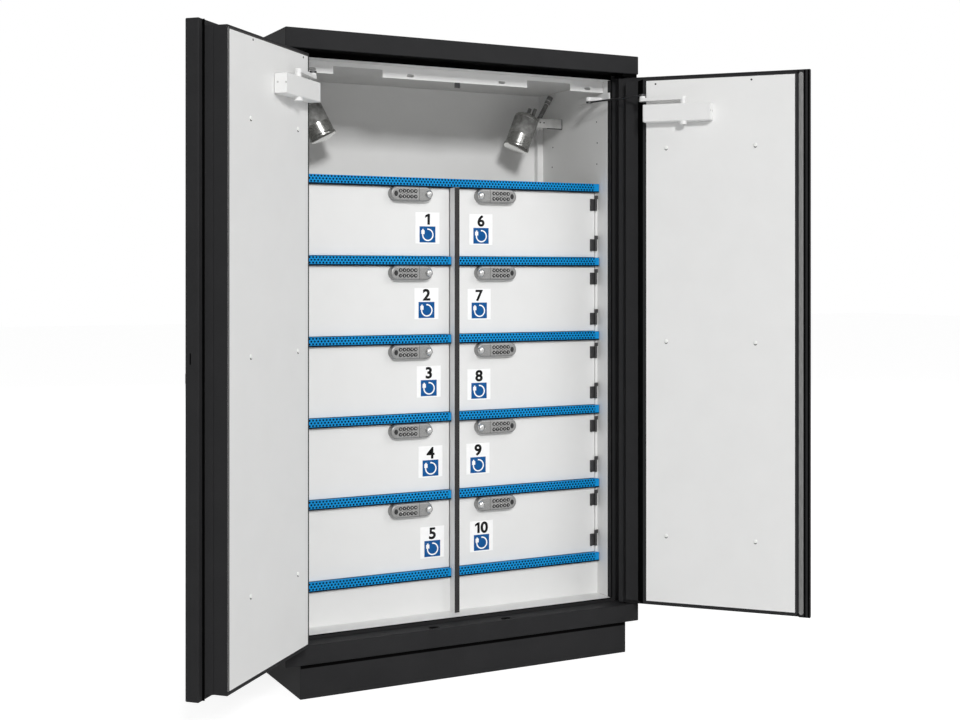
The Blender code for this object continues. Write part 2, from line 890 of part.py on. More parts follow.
# The lip on the right door that the left door's plate closes over; the seal lies on its inner face
def build_meeting_lip():
    foot_y = plate_back_y + meeting_lip_clearance
    inner_x = step_free_x + weld
    low = door_low + meeting_lip_end_margin
    high = door_high - meeting_lip_end_margin
    lip = rounded(
        box((-meeting_lip_reach, foot_y, low), (inner_x, meeting_lip_y, high)),
        edge_round / 2,
    )
    foot = box(
        (plate_free_x + edge_round, plate_back_y - weld, low + edge_round),
        (inner_x, meeting_lip_y - edge_round, high - edge_round),
    )
    return shaped(lip, welds=[foot])


def build_door_seal():
    middle = step_free_x - seal_step_gap - seal_width / 2
    low, high = door_low + seal_end_margin, door_high - seal_end_margin
    strip = stadium(((low + high) / 2, middle), high - low, seal_width, case_end_steps)
    outline = [(across, along) for along, across in strip]
    near = meeting_lip_y + gap
    return prism(outline, near, near + seal_thickness, upright=True)


# Closer linkage: the arm and the rod keep the parallelogram pivot, spindle, elbow, shoe
closer_face_y = plug_back_y + gap
closer_top = opening_top - closer_drop
closer_bottom = closer_top - closer_height
arm_bottom = closer_top + spindle_hub_height + gap
arm_top = arm_bottom + arm_thickness
rod_bottom = arm_top + elbow_collar_height + gap
rod_top = rod_bottom + rod_eye_thickness
lug_bottom = rod_top + gap
spindle = Vector((panel_hinge_x - spindle_edge_distance, closer_face_y + spindle_depth, 0))
shoe_pivot = Vector((opening_half - shoe_pivot_inset, front + shoe_pivot_depth, 0))
elbow = spindle + shoe_pivot - Vector((pivot_x, pivot_y, 0))


def at(point, height):
    return Vector((point.x, point.y, height))


def build_closer_body():
    end = panel_hinge_x + closer_overhang
    far = closer_face_y + closer_depth
    block = box((end - closer_length, closer_face_y, closer_bottom), (end, far, closer_top))
    case = rounded(block, edge_round)
    cap_bottom = closer_bottom - closer_cap_height
    cap = round_bar(at(spindle, cap_bottom), at(spindle, closer_bottom + weld), closer_cap_radius)
    hub_foot, hub_top = at(spindle, closer_top - weld), at(spindle, arm_bottom - gap)
    hub = round_bar(hub_foot, hub_top, spindle_hub_radius)
    stub = round_bar(hub_foot, at(spindle, arm_top), spindle_radius, small_round_sides)
    return shaped(case, welds=[cap, hub, stub])


# A flat bar with round ends between two points, as a plan outline
def bar_outline(start, end, width, steps):
    along = (end - start).normalized()
    angle = math.atan2(along.y, along.x)
    points = []
    for centre, begin in ((start, angle + math.pi / 2), (end, angle - math.pi / 2)):
        for step in range(steps + 1):
            turn = begin + math.pi * step / steps
            across = width / 2 * math.cos(turn)
            points.append((centre.x + across, centre.y + width / 2 * math.sin(turn)))
    return points


def build_closer_arm():
    outline = bar_outline(spindle, elbow, arm_width, bar_end_steps)
    bar = prism(outline, arm_bottom, arm_top)
    eye_radius = spindle_radius + running_gap
    eye_bottom, eye_top = at(spindle, arm_bottom - weld), at(spindle, arm_top + weld)
    eye = round_bar(eye_bottom, eye_top, eye_radius, small_round_sides)
    pin = round_bar(at(elbow, arm_bottom + weld), at(elbow, rod_top), link_pin_radius, small_round_sides)
    collar_top = at(elbow, arm_top + elbow_collar_height)
    collar = round_bar(at(elbow, arm_top - weld), collar_top, elbow_collar_radius)
    return shaped(bar, welds=[collar, pin], cuts=[eye])


def build_closer_rod():
    middle = (rod_bottom + rod_top) / 2
    rod = round_bar(at(shoe_pivot, middle), at(elbow, middle), rod_radius, small_round_sides)
    bore_radius = link_pin_radius + running_gap
    eyes = []
    bores = []
    for end in (shoe_pivot, elbow):
        low, high = at(end, rod_bottom), at(end, rod_top)
        bore_low, bore_high = at(end, rod_bottom - weld), at(end, rod_top + weld)
        eyes.append(round_bar(low, high, rod_eye_radius))
        bores.append(round_bar(bore_low, bore_high, bore_radius, small_round_sides))
    return shaped(rod, welds=eyes, cuts=bores)


def build_closer_shoe():
    wall = opening_half - gap
    start = front + shoe_plate_start
    plate_bottom = lug_bottom + shoe_plate_rise
    plate = rounded(
        box(
            (wall - shoe_plate_thickness, start, plate_bottom),
            (wall, start + shoe_plate_length, plate_bottom + shoe_plate_height),
        ),
        edge_round / 2,
    )
    foot = Vector((wall - shoe_plate_thickness / 2, shoe_pivot.y, 0))
    outline = bar_outline(foot, shoe_pivot, 2 * shoe_lug_radius, bar_end_steps)
    lug = prism(outline, lug_bottom, lug_bottom + shoe_lug_thickness)
    trim = box(
        (wall, start, lug_bottom - weld),
        (wall + shoe_lug_radius, start + shoe_plate_length, plate_bottom + shoe_plate_height),
    )
    pin_foot = at(shoe_pivot, rod_bottom)
    pin = round_bar(pin_foot, at(shoe_pivot, lug_bottom + weld), link_pin_radius, small_round_sides)
    return shaped(plate, welds=[lug, pin], cuts=[trim])


def build_door_handle():
    axis_x = plate_free_x + handle_edge_distance
    face = front - gap
    inside_hub = face - handle_hub_thickness / 2
    lever_near = front - handle_projection
    lever_far = lever_near + handle_lever_thickness
    half_height = handle_lever_height / 2

    def disc(near, far, radius):
        return round_bar((axis_x, near, handle_height), (axis_x, far, handle_height), radius)

    bar = box(
        (axis_x - half_height, lever_near, handle_height - half_height),
        (axis_x + handle_lever_length, lever_far, handle_height + half_height),
    )
    lever = rounded(bar, edge_round)
    hub = disc(face, face - handle_hub_thickness, handle_hub_radius)
    neck = disc(inside_hub, (lever_near + lever_far) / 2, handle_neck_radius)
    stem = disc(inside_hub, front + sheet - gap, pivot_pin_radius)
    return shaped(hub, welds=[neck, lever, stem])


def handle_bore():
    axis_x = plate_free_x + handle_edge_distance
    return round_bar(
        (axis_x, front - weld, handle_height),
        (axis_x, front + 2 * sheet, handle_height),
        pivot_pin_radius + running_gap,
        small_round_sides,
    )


def build_main_doors():
    shell = build_door_shell()
    pieces = {
        "door_shell": (shell, black_coat),
        "door_core": (build_door_core(), mineral_board),
        "door_panel": (build_door_panel(), white_coat),
        "closer_body": (build_closer_body(), white_coat),
    }
    arm = build_closer_arm()
    rod = build_closer_rod()
    shoe = build_closer_shoe()
    for word, side, angle in (("left", -1, -left_door_angle), ("right", 1, right_door_angle)):
        flip = Matrix.Diagonal((side, 1, 1))
        pivot = flip @ Vector((pivot_x, pivot_y, 0))
        empty = bpy.data.objects.new(f"{word}_door_pivot", None)
        parts.objects.link(empty)
        empty.location = pivot
        empty.rotation_euler = (0, 0, angle)
        carrier = {"empty": empty, "rest": pivot}

        def handed(mesh):
            return mesh if side > 0 else mirrored(mesh)

        for name, (mesh, coat) in pieces.items():
            if name == "door_shell" and side < 0:
                mesh = shaped(mesh, cuts=[handle_bore()])
            if name == "door_shell" and side > 0:
                mesh = shaped(mesh, welds=[build_meeting_lip()])
            moving(f"{word}_{name}", handed(mesh), coat, pivot, carrier)
        moving(f"{word}_closer_arm", handed(arm), white_coat, flip @ spindle, carrier, -angle)
        moving(f"{word}_closer_rod", handed(rod), steel, flip @ shoe_pivot, None, angle)
        fixed(f"{word}_closer_shoe", handed(shoe), white_coat)
        if side < 0:
            handle_axis = Vector((-plate_free_x - handle_edge_distance, front, handle_height))
            moving("door_handle", mirrored(build_door_handle()), black_coat, handle_axis, carrier)
        else:
            moving("right_door_seal", build_door_seal(), seal_foam, pivot, carrier)


# Fire extinguishers: a tilted bottle seated on a wall bracket that also holds its release rod
def extinguisher_set(side_distance):
    profile = [
        (0, bottle_length),
        (bottle_cap_radius, bottle_length),
        (bottle_cap_radius, bottle_length - bottle_cap_height),
        (bottle_neck_radius, bottle_length - bottle_cap_height),
        (bottle_radius, bottle_length - bottle_shoulder_height),
        (bottle_radius, bottle_rim_height),
        (bottle_rim_radius, bottle_rim_height),
        (bottle_rim_radius, 0),
        (bottle_foot_radius, 0),
        (bottle_foot_radius, bottle_rim_height / 2),
        (0, bottle_rim_height / 2),
    ]
    base_z = opening_top - bottle_base_drop
    base = Vector((opening_half - side_distance, front + bottle_depth, base_z))
    stance = Matrix.Translation(base) @ Matrix.Rotation(bottle_tilt, 4, "Y")
    bottle = moved(turned(profile, round_sides), stance)
    seat_bottom = stance @ Vector((0, 0, -bottle_length))
    seat_top = stance @ Vector((0, 0, 2 * bottle_length))
    seat = round_bar(seat_bottom, seat_top, bottle_radius + gap, 2 * round_sides)
    wall = opening_half - gap
    bracket_bottom = base_z + bracket_rise
    arm = rounded(
        box(
            (base.x + bottle_radius, base.y - bracket_depth / 2, bracket_bottom),
            (wall, base.y + bracket_depth / 2, bracket_bottom + bracket_height),
        ),
        edge_round / 2,
    )
    foot_y = base.y + release_rod_setback
    foot = Vector((wall - release_rod_wall_distance, foot_y, bracket_bottom + bracket_height / 2))
    lean = Vector((math.sin(release_rod_tilt), 0, math.cos(release_rod_tilt)))
    tip = foot + lean * release_rod_length
    rod = round_bar(foot, tip, release_rod_radius, small_round_sides)
    head_foot = tip - lean * release_head_length
    head = round_bar(head_foot, tip + lean * weld, release_head_radius, small_round_sides)
    return bottle, shaped(arm, welds=[rod, head], cuts=[seat])


def build_extinguishers():
    bottle, bracket = extinguisher_set(left_bottle_side_distance)
    fixed("left_extinguisher", mirrored(bottle), steel)
    fixed("left_extinguisher_bracket", mirrored(bracket), white_coat)
    bottle, bracket = extinguisher_set(right_bottle_side_distance)
    fixed("right_extinguisher", bottle, steel)
    fixed("right_extinguisher_bracket", bracket, white_coat)


build_plinth()
build_roof_and_base()
build_outer_skins()
build_insulation()
build_linings()
build_valance()
build_shelves()
build_centre_post()
build_rack_frame()
build_compartments()
build_main_doors()
build_extinguishers()
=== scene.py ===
import math

import bmesh
import bpy
from mathutils import Matrix, Vector


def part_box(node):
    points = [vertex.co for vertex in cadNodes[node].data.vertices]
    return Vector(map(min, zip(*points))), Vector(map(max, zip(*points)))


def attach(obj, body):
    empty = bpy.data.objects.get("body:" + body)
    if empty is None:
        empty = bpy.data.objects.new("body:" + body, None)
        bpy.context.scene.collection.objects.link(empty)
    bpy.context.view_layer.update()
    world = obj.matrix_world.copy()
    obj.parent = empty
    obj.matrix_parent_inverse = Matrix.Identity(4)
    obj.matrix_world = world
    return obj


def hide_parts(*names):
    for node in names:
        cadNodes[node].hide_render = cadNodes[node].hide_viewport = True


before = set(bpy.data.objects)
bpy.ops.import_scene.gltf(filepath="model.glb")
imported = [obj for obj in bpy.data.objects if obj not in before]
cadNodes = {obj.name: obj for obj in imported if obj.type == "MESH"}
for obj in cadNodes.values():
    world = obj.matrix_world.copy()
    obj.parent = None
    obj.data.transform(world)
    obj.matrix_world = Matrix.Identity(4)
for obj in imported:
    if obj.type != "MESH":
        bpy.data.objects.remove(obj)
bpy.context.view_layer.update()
print("frame loaded:", len(cadNodes), "solids")

# Places shared with the CAD model, in metres
opening = {"half": 0.5375, "low": 0.165, "high": 1.855}
doorPivot = {"x": 0.571, "y": -0.279, "leftTurn": math.radians(-135), "rightTurn": math.radians(133)}
shelfTops = [0.3013 + 0.24366 * (5 - row) for row in range(6)]
leafFront = -0.151  # front faces of the compartment doors
lipFront = -0.164  # front faces of the shelf lips
lipHeight = 0.028
hair = 0.0002  # least step between two faces, so that they never share a plane
sheetEdge = 0.0004  # soft edge of thin sheet
sides = {"left": -1, "right": 1}
toFront = Matrix.Rotation(math.pi / 2, 4, "X")  # lays a flat XY layout upright, facing the viewer


def shifted(x, y, z):
    return Matrix.Translation((x, y, z))


def linearColour(hexCode):  # sRGB hex to the linear values that sockets hold
    channels = [int(hexCode[i:i + 2], 16) / 255 for i in (1, 3, 5)]
    return [c / 12.92 if c <= 0.04045 else ((c + 0.055) / 1.055) ** 2.4 for c in channels] + [1.0]


def addNode(tree, kind, values=None, **settings):  # values are sockets to link or plain numbers
    node = tree.nodes.new(kind)
    for name, value in settings.items():
        setattr(node, name, value)
    for socket, value in (values or {}).items():
        if isinstance(value, bpy.types.NodeSocket):
            tree.links.new(value, node.inputs[socket])
        else:
            node.inputs[socket].default_value = value
    return node


def newMaterial(name, hexCode, roughness, metallic=0.0, **shaderValues):
    made = bpy.data.materials.new(name)
    made.use_nodes = True
    shader = made.node_tree.nodes["Principled BSDF"]
    shader.inputs["Base Color"].default_value = linearColour(hexCode)
    shader.inputs["Roughness"].default_value = roughness
    shader.inputs["Metallic"].default_value = metallic
    for socket, value in shaderValues.items():
        shader.inputs[socket.replace("_", " ")].default_value = value
    return made, made.node_tree, shader


def placeCoords(tree, stretch=(1.0, 1.0, 1.0)):
    coords = addNode(tree, "ShaderNodeTexCoord")
    return addNode(tree, "ShaderNodeMapping", {"Vector": coords.outputs["Object"], "Scale": stretch}).outputs[0]


def grain(tree, millimetres, detail=2.0, stretch=(1.0, 1.0, 1.0)):  # noise whose lumps are that wide
    return addNode(tree, "ShaderNodeTexNoise", {
        "Vector": placeCoords(tree, stretch), "Scale": 1000.0 / millimetres, "Detail": detail}).outputs[0]


noiseSpan = (0.3, 0.7)  # where most of a noise's values lie


def tint(tree, source, dark, light):  # noise to a mix of two near colours
    ramp = addNode(tree, "ShaderNodeValToRGB", {"Fac": source})
    for stop, place, hexCode in zip(ramp.color_ramp.elements, noiseSpan, (dark, light)):
        stop.position = place
        stop.color = linearColour(hexCode)
    return ramp.outputs[0]


def ranged(tree, value, low, high, span=(0.0, 1.0)):  # a value from one span to another
    return addNode(tree, "ShaderNodeMapRange", {
        "Value": value, "From Min": span[0], "From Max": span[1], "To Min": low, "To Max": high}).outputs[0]


def dressed(bare, noise, dark, light, rough=None, height=0.0, cloud=None):  # noise sets colour, sheen and skin
    made, tree, shader = bare
    source = grain(tree, *noise)
    colour = grain(tree, *cloud) if cloud else source
    tree.links.new(tint(tree, colour, dark, light), shader.inputs["Base Color"])
    if rough:
        tree.links.new(ranged(tree, source, *rough, noiseSpan), shader.inputs["Roughness"])
    if height:  # in millimetres
        skin = addNode(tree, "ShaderNodeBump", {"Height": source, "Strength": 0.5, "Distance": height / 1000})
        tree.links.new(skin.outputs[0], shader.inputs["Normal"])
    return made


# Powder coat on sheet steel, sprayed and baked: an even colour with a fine lumpy skin that breaks the gloss.
# The real lumps are about 0.3 mm; they are drawn coarser so that they show. The film's colour drifts slowly.
def powderCoat(name, dark, light, rough, lump, height, gloss):
    bare = newMaterial(name, light, rough[0], Specular_IOR_Level=gloss)
    return dressed(bare, (lump,), dark, light, rough, height, (90.0, 3.0))


# Stainless steel, drawn and brushed round: fine lines that spread the glints
def brushedSteel(name, dark, light, rough):
    bare = newMaterial(name, light, rough[0], 1.0)
    return dressed(bare, (9.0, 3.0, (1.0, 1.0, 9.0)), dark, light, rough, 0.02)


def blackenedSteel():  # steel rod, drawn and blackened in a salt bath: a thin oxide that dulls the glints
    bare = newMaterial("steel_drawn_blackened", "#4A4A4B", 0.42, 1.0)
    return dressed(bare, (2.2, 2.0, (1.0, 1.0, 0.3)), "#404041", "#565657", (0.36, 0.52), 0.03)


def zincSheet(name, dark, light):  # galvanised steel sheet: a dull grey skin with slow pale spangles
    return dressed(newMaterial(name, light, 0.45, 0.3), (16.0, 2.0), dark, light, (0.4, 0.55))


def lockEnamel(name, dark, light, rough, metallic):  # metallic enamel on a zinc casting: flakes glint in a film
    return dressed(newMaterial(name, light, rough[0], metallic), (1.4, 1.0), dark, light, rough, 0.03)


def mouldedPlastic(name, dark, light, roughness):  # injection moulded, lightly spark-eroded skin
    return dressed(newMaterial(name, light, roughness), (0.9, 2.0), dark, light, None, 0.02)


def printedVinyl(name, dark, light):  # cast vinyl film with a flat print: smooth, with little gloss
    bare = newMaterial(name, light, 0.34, Specular_IOR_Level=0.1)
    return dressed(bare, (14.0, 2.0), dark, light, (0.3, 0.4))


def pressedBoard():  # mineral fibre board, pressed and sawn: matt, with short pale fibres
    bare = newMaterial("mineral_board_pressed", "#CDC7BA", 0.92)
    return dressed(bare, (3.0, 6.0, (1.0, 1.0, 3.0)), "#BDB6A7", "#D8D3C7", None, 0.3)


def extrudedSeal():  # cellular rubber strip, extruded: matt with fine lengthwise pull lines
    bare = newMaterial("grey_seal_extruded_rubber", "#868685", 0.8)
    return dressed(bare, (2.5, 2.0, (1.0, 1.0, 0.1)), "#7C7C7B", "#90908F", None, 0.08)


blackCoat = powderCoat("black_powder_coat_fine_texture", "#2A2A2B", "#2D2D2E", (0.5, 0.62), 1.6, 0.1, gloss=0.06)
whiteCoat = powderCoat("white_powder_coat_satin", "#E6E6E5", "#E8E8E7", (0.4, 0.5), 2.4, 0.04, gloss=0.4)
blueCoat = powderCoat("blue_powder_coat_satin", "#088BCE", "#0A94D8", (0.4, 0.5), 2.0, 0.05, gloss=0.18)
# Painted shade: a dark copy of the blue coat for the lip's folds and for the dark seen through its holes
blueShadeCoat = powderCoat("blue_powder_coat_painted_shade", "#021626", "#031C30", (0.6, 0.7), 2.0, 0.05, gloss=0.1)
# Painted shade: a near-black copy of the black coat, laid where gaps, grooves, slots and recesses fall into shadow
blackShadeCoat = powderCoat("black_powder_coat_painted_shade", "#030303", "#050505", (0.65, 0.75), 1.6, 0.1, gloss=0.02)
trimCoat = powderCoat("dark_grey_powder_coat_satin", "#2B2A2A", "#313030", (0.45, 0.55), 2.0, 0.05, gloss=0.25)
bottleSteel = brushedSteel("stainless_steel_brushed", "#979794", "#B5B5B2", (0.18, 0.34))
# Painted light: a brighter, glossier copy of the bottle's steel for the rolled foot, standing for the light it catches
# from below
footPaintedLight = brushedSteel("stainless_steel_foot_painted_light", "#E6E6E4", "#F4F4F2", (0.1, 0.2))
rodSteel = blackenedSteel()
shelfZinc = zincSheet("steel_sheet_galvanised", "#737371", "#858583")
bracketZinc = zincSheet("steel_strip_zinc_plated", "#BEBEBC", "#CCCCCA")
hoseSteel = zincSheet("steel_wire_braided", "#5C5C5B", "#888886")
caseEnamel = lockEnamel("zinc_casting_metallic_enamel", "#868685", "#A2A2A1", (0.3, 0.46), 0.45)
knobEnamel = lockEnamel("zinc_casting_polished", "#C4C4C3", "#D4D4D3", (0.16, 0.26), 0.85)
keyPlastic = mouldedPlastic("black_abs_moulded", "#1A1A1B", "#222223", 0.42)
hingePlastic = mouldedPlastic("black_polyamide_moulded", "#2B2B2C", "#343435", 0.5)
capPlastic = mouldedPlastic("pale_grey_abs_moulded", "#B9B9B7", "#C2C2C0", 0.4)
whitePlastic = mouldedPlastic("white_abs_moulded", "#E9E9E7", "#F1F1EF", 0.4)
markPlastic = mouldedPlastic("pale_grey_print_on_abs", "#D2D2D0", "#DADAD8", 0.45)
labelVinyl = printedVinyl("white_vinyl_film", "#FAFAFA", "#FEFEFE")
blueVinyl = printedVinyl("blue_print_on_vinyl", "#12518F", "#165A99")
inkVinyl = printedVinyl("dark_print_on_vinyl", "#101011", "#161617")
bandVinyl = printedVinyl("grey_vinyl_band", "#6A6A68", "#8C8C8A")
boardCore = pressedBoard()
sealRubber = extrudedSeal()

# The slot of the record that each finish stands for; a piece may name another
usualSlots = {
    "black_powder_coat": (blackCoat, blackShadeCoat, hingePlastic, keyPlastic),
    "white_powder_coat": (whiteCoat, whitePlastic, labelVinyl),
    "blue_powder_coat": (blueCoat, blueShadeCoat, blueVinyl),
    "dark_grey_powder_coat": (trimCoat, inkVinyl),
    "stainless_steel": (bottleSteel, footPaintedLight, bandVinyl, rodSteel, hoseSteel, shelfZinc, bracketZinc, capPlastic),
    "grey_lock_enamel": (caseEnamel, knobEnamel, markPlastic),
    "grey_seal": (sealRubber,),
}
slotOf = {coat.name: slot for slot, coats in usualSlots.items() for coat in coats}
print("finishes made")


def linked(name, data):  # a new object in the scene
    made = bpy.data.objects.new(name, data)
    bpy.context.scene.collection.objects.link(made)
    return made


# A mesh becomes a piece: named, finished and riding on a body; its slot of the record is looked up but not kept.
def addPiece(name, mesh, coat, body="cabinet", replaced=(), slot=None):
    mesh.name = name
    if coat.name not in mesh.materials:
        mesh.materials.append(coat)
    made = linked(name, mesh)
    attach(made, body)
    slot or slotOf[coat.name]
    if replaced:
        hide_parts(*replaced)


def kept(work, name="shape"):
    mesh = bpy.data.meshes.new(name)
    work.to_mesh(mesh)
    work.free()
    return mesh


def meshOf(work, mergeDistance=1e-6):
    bmesh.ops.remove_doubles(work, verts=work.verts, dist=mergeDistance)
    bmesh.ops.recalc_face_normals(work, faces=work.faces)
    return kept(work)


def evaluated(holder):  # what an object's modifiers or its letters give, as a plain mesh
    bpy.context.view_layer.update()
    mesh = bpy.data.meshes.new_from_object(holder.evaluated_get(bpy.context.evaluated_depsgraph_get()))
    bpy.data.objects.remove(holder)
    return mesh


def finished(mesh, edge=0.0, steps=2, smoothAngle=38):  # soft edges and clean shading
    holder = linked("holder", mesh)
    if edge:
        bevel = holder.modifiers.new("edges", "BEVEL")
        bevel.width = edge
        bevel.segments = steps
        bevel.limit_method = "ANGLE"
        bevel.angle_limit = math.radians(smoothAngle)
    mesh.shade_smooth()
    mesh.set_sharp_from_angle(angle=math.radians(smoothAngle))
    holder.modifiers.new("shading", "WEIGHTED_NORMAL").keep_sharp = True
    return evaluated(holder)


def cadCopy(nodeName):  # a solid's triangles, merged and with flat faces joined up
    work = bmesh.new()
    work.from_mesh(cadNodes[nodeName].data)
    bmesh.ops.remove_doubles(work, verts=work.verts, dist=1e-6)
    bmesh.ops.dissolve_limit(work, angle_limit=math.radians(0.6), verts=work.verts, edges=work.edges)
    mesh = kept(work, nodeName)
    mesh.materials.clear()
    return mesh


def splitCoat(mesh, coat, otherCoat, isOther):  # two coats on one mesh
    mesh.materials.append(coat)
    mesh.materials.append(otherCoat)
    for face in mesh.polygons:
        face.material_index = 1 if isOther(face) else 0
    return mesh


def boxMesh(corner, opposite):
    work = bmesh.new()
    middle = (Vector(corner) + Vector(opposite)) / 2
    size = [abs(length) for length in Vector(opposite) - Vector(corner)]
    bmesh.ops.create_cube(work, size=1.0, matrix=Matrix.Translation(middle) @ Matrix.Diagonal((*size, 1)))
    return meshOf(work)


def joined(*meshes):
    work = bmesh.new()
    for mesh in meshes:
        work.from_mesh(mesh)
    return kept(work, "joined")


def latheMesh(profile, around=48):  # radius and height pairs turned about Z
    work = bmesh.new()
    previous = None
    for radius, height in profile:
        if radius <= 0:
            ring = [work.verts.new((0, 0, height))]
        else:
            turns = [2 * math.pi * i / around for i in range(around)]
            ring = [work.verts.new((radius * math.cos(turn), radius * math.sin(turn), height)) for turn in turns]
        if previous:
            for i in range(around):
                nextOne = (i + 1) % around
                corners = [previous[i % len(previous)], previous[nextOne % len(previous)],
                           ring[nextOne % len(ring)], ring[i % len(ring)]]
                unique = list(dict.fromkeys(corners))
                if len(unique) > 2:
                    work.faces.new(unique)
        previous = ring
    return meshOf(work)


def rodMesh(start, end, radius, around=24):
    span = Vector(end) - Vector(start)
    turn = span.to_track_quat("Z", "Y").to_matrix().to_4x4()
    work = bmesh.new()
    place = Matrix.Translation((Vector(start) + Vector(end)) / 2) @ turn
    bmesh.ops.create_cone(work, cap_ends=True, segments=around, radius1=radius, radius2=radius,
                          depth=span.length, matrix=place)
    return meshOf(work)


def placed(mesh, matrix):
    copy = mesh.copy()
    copy.transform(matrix)
    if matrix.determinant() < 0:
        copy.flip_normals()
    return copy


def stadiumPoints(length, height, steps):  # an oblong with round ends, centred on the origin
    radius, points = height / 2, []
    for side in (1, -1):
        for step in range(steps + 1):
            angle = -math.pi / 2 + math.pi * step / steps
            points.append((side * (length / 2 - radius + radius * math.cos(angle)), side * radius * math.sin(angle)))
    return points


def domedPlate(outline, levels):  # flat rings of one outline, each (inset, height), closed top and bottom
    work = bmesh.new()
    rings = []
    for inset, height in levels:
        ring = []
        for i, (across, along) in enumerate(outline):
            before, after = Vector(outline[i - 1]), Vector(outline[(i + 1) % len(outline)])
            edge = (after - before).normalized()
            ring.append(work.verts.new((across - edge.y * inset, along + edge.x * inset, height)))
        rings.append(ring)
    for lower, upper in zip(rings, rings[1:]):
        for i in range(len(outline)):
            nextOne = (i + 1) % len(outline)
            work.faces.new((lower[i], lower[nextOne], upper[nextOne], upper[i]))
    work.faces.new(rings[-1])
    work.faces.new(list(reversed(rings[0])))
    return meshOf(work)


def doorPlace(word):  # from the closed door's place to where it stands open
    turn = doorPivot[f"{word}Turn"]
    pivot = Vector((sides[word] * doorPivot["x"], doorPivot["y"], 0))
    return Matrix.Translation(pivot) @ Matrix.Rotation(turn, 4, "Z") @ Matrix.Translation(-pivot)


# Geometry Nodes: one tree for each thing that repeats, grown once and kept as a plain mesh.
def newTree(name, inputs):
    tree = bpy.data.node_groups.new(name, "GeometryNodeTree")
    for label, kind in inputs.items():
        tree.interface.new_socket(label, in_out="INPUT", socket_type=f"NodeSocket{kind}")
    tree.interface.new_socket("Geometry", in_out="OUTPUT", socket_type="NodeSocketGeometry")

    def add(kind, values=None, **settings):  # a geometry node's first output
        return addNode(tree, f"GeometryNode{kind}", values, **settings).outputs[0]

    return tree, add, addNode(tree, "NodeGroupInput").outputs


def endTree(tree, geometry, coat):
    whole = addNode(tree, "GeometryNodeRealizeInstances", {"Geometry": geometry})
    painted = addNode(tree, "GeometryNodeSetMaterial", {"Geometry": whole.outputs[0], "Material": coat})
    addNode(tree, "NodeGroupOutput", {"Geometry": painted.outputs[0]})


def grown(tree, values, source=None):
    holder = linked("grower", source or bpy.data.meshes.new("seed"))
    modifier = holder.modifiers.new("grow", "NODES")
    modifier.node_group = tree
    for item in tree.interface.items_tree:
        if item.in_out == "INPUT" and item.name in values:
            modifier[item.identifier] = values[item.name]
    return evaluated(holder)


def mathNode(tree, operation, first, second):
    return addNode(tree, "ShaderNodeMath", {0: first, 1: second}, operation=operation).outputs[0]


def paired(tree, first, second):  # two geometries as one
    both = addNode(tree, "GeometryNodeJoinGeometry", {0: first})
    tree.links.new(second, both.inputs[0])
    return both.outputs[0]


def perforatedTree():  # staggered round holes in a sheet, welded from one holed tile
    tree, add, given = newTree("perforated sheet", {
        "Columns": "Int", "Rows": "Int", "Pitch": "Float", "Row Pitch": "Float", "Hole": "Float",
        "Thickness": "Float", "Coat": "Material"})
    pitch, rowPitch, columns, rows = [given[label] for label in ("Pitch", "Row Pitch", "Columns", "Rows")]
    weld = 0.00002
    tileEdge = add("CurvePrimitiveQuadrilateral", {0: pitch, 1: rowPitch})
    tileEdge = add("SubdivideCurve", {"Curve": tileEdge, "Cuts": 1})
    hole = add("CurvePrimitiveCircle", {"Resolution": 10, "Radius": mathNode(tree, "DIVIDE", given["Hole"], 2.0)})
    tile = add("FillCurve", {"Curve": paired(tree, tileEdge, hole)})
    wide = mathNode(tree, "MULTIPLY", mathNode(tree, "SUBTRACT", columns, 1.0), pitch)
    high = mathNode(tree, "MULTIPLY", mathNode(tree, "SUBTRACT", rows, 1.0), rowPitch)
    grid = add("MeshGrid", {"Size X": wide, "Size Y": high, "Vertices X": columns, "Vertices Y": rows})
    row = mathNode(tree, "MODULO", add("InputIndex"), rows)
    shift = mathNode(tree, "MULTIPLY", mathNode(tree, "MODULO", row, 2.0), mathNode(tree, "DIVIDE", pitch, 2.0))
    offset = addNode(tree, "ShaderNodeCombineXYZ", {0: shift}).outputs[0]
    staggered = add("SetPosition", {"Geometry": grid, "Offset": offset})
    tiles = add("InstanceOnPoints", {"Points": staggered, "Instance": tile})
    flat = add("MergeByDistance", {"Geometry": add("RealizeInstances", {"Geometry": tiles}), "Distance": weld})
    raised = add("ExtrudeMesh", {"Mesh": flat, "Offset Scale": given["Thickness"], "Individual": False})
    under = add("FlipFaces", {"Mesh": flat})
    sheet = add("MergeByDistance", {"Geometry": paired(tree, raised, under), "Distance": weld})
    endTree(tree, sheet, given["Coat"])
    return tree


def studTree():  # a round head on each point of the seed: a skirt and a domed top
    tree, add, given = newTree("round heads", {
        "Points": "Geometry", "Radius": "Float", "Height": "Float", "Crown": "Float", "Coat": "Material"})
    half = mathNode(tree, "DIVIDE", given["Height"], 2.0)
    cone = {"Vertices": 20, "Radius Bottom": given["Radius"], "Depth": half}
    skirt = add("MeshCone", {**cone, "Radius Top": given["Radius"]})
    crownRadius = mathNode(tree, "MULTIPLY", given["Radius"], given["Crown"])
    crown = add("MeshCone", {**cone, "Radius Top": crownRadius}, fill_type="NGON")
    lift = addNode(tree, "ShaderNodeCombineXYZ", {2: half}).outputs[0]
    crown = add("Transform", {"Geometry": crown, "Translation": lift})
    heads = add("InstanceOnPoints", {"Points": given["Points"], "Instance": paired(tree, skirt, crown)})
    endTree(tree, heads, given["Coat"])
    return tree


perforation = perforatedTree()
studs = studTree()


def studRow(points, radius, height, crown, coat):  # crown is the top's share of the radius
    seed = bpy.data.meshes.new("points")
    seed.from_pydata([(across, along, 0) for across, along in points], [], [])
    return grown(studs, {"Radius": radius, "Height": height, "Crown": crown, "Coat": coat}, seed)


holeShade = {"height": 0.0006, "crown": 0.7}


def plugRow(points, radius):  # flat black discs in round holes: painted shade for their dark insides
    return studRow(points, radius, holeShade["height"], holeShade["crown"], keyPlastic)


print("node trees made")

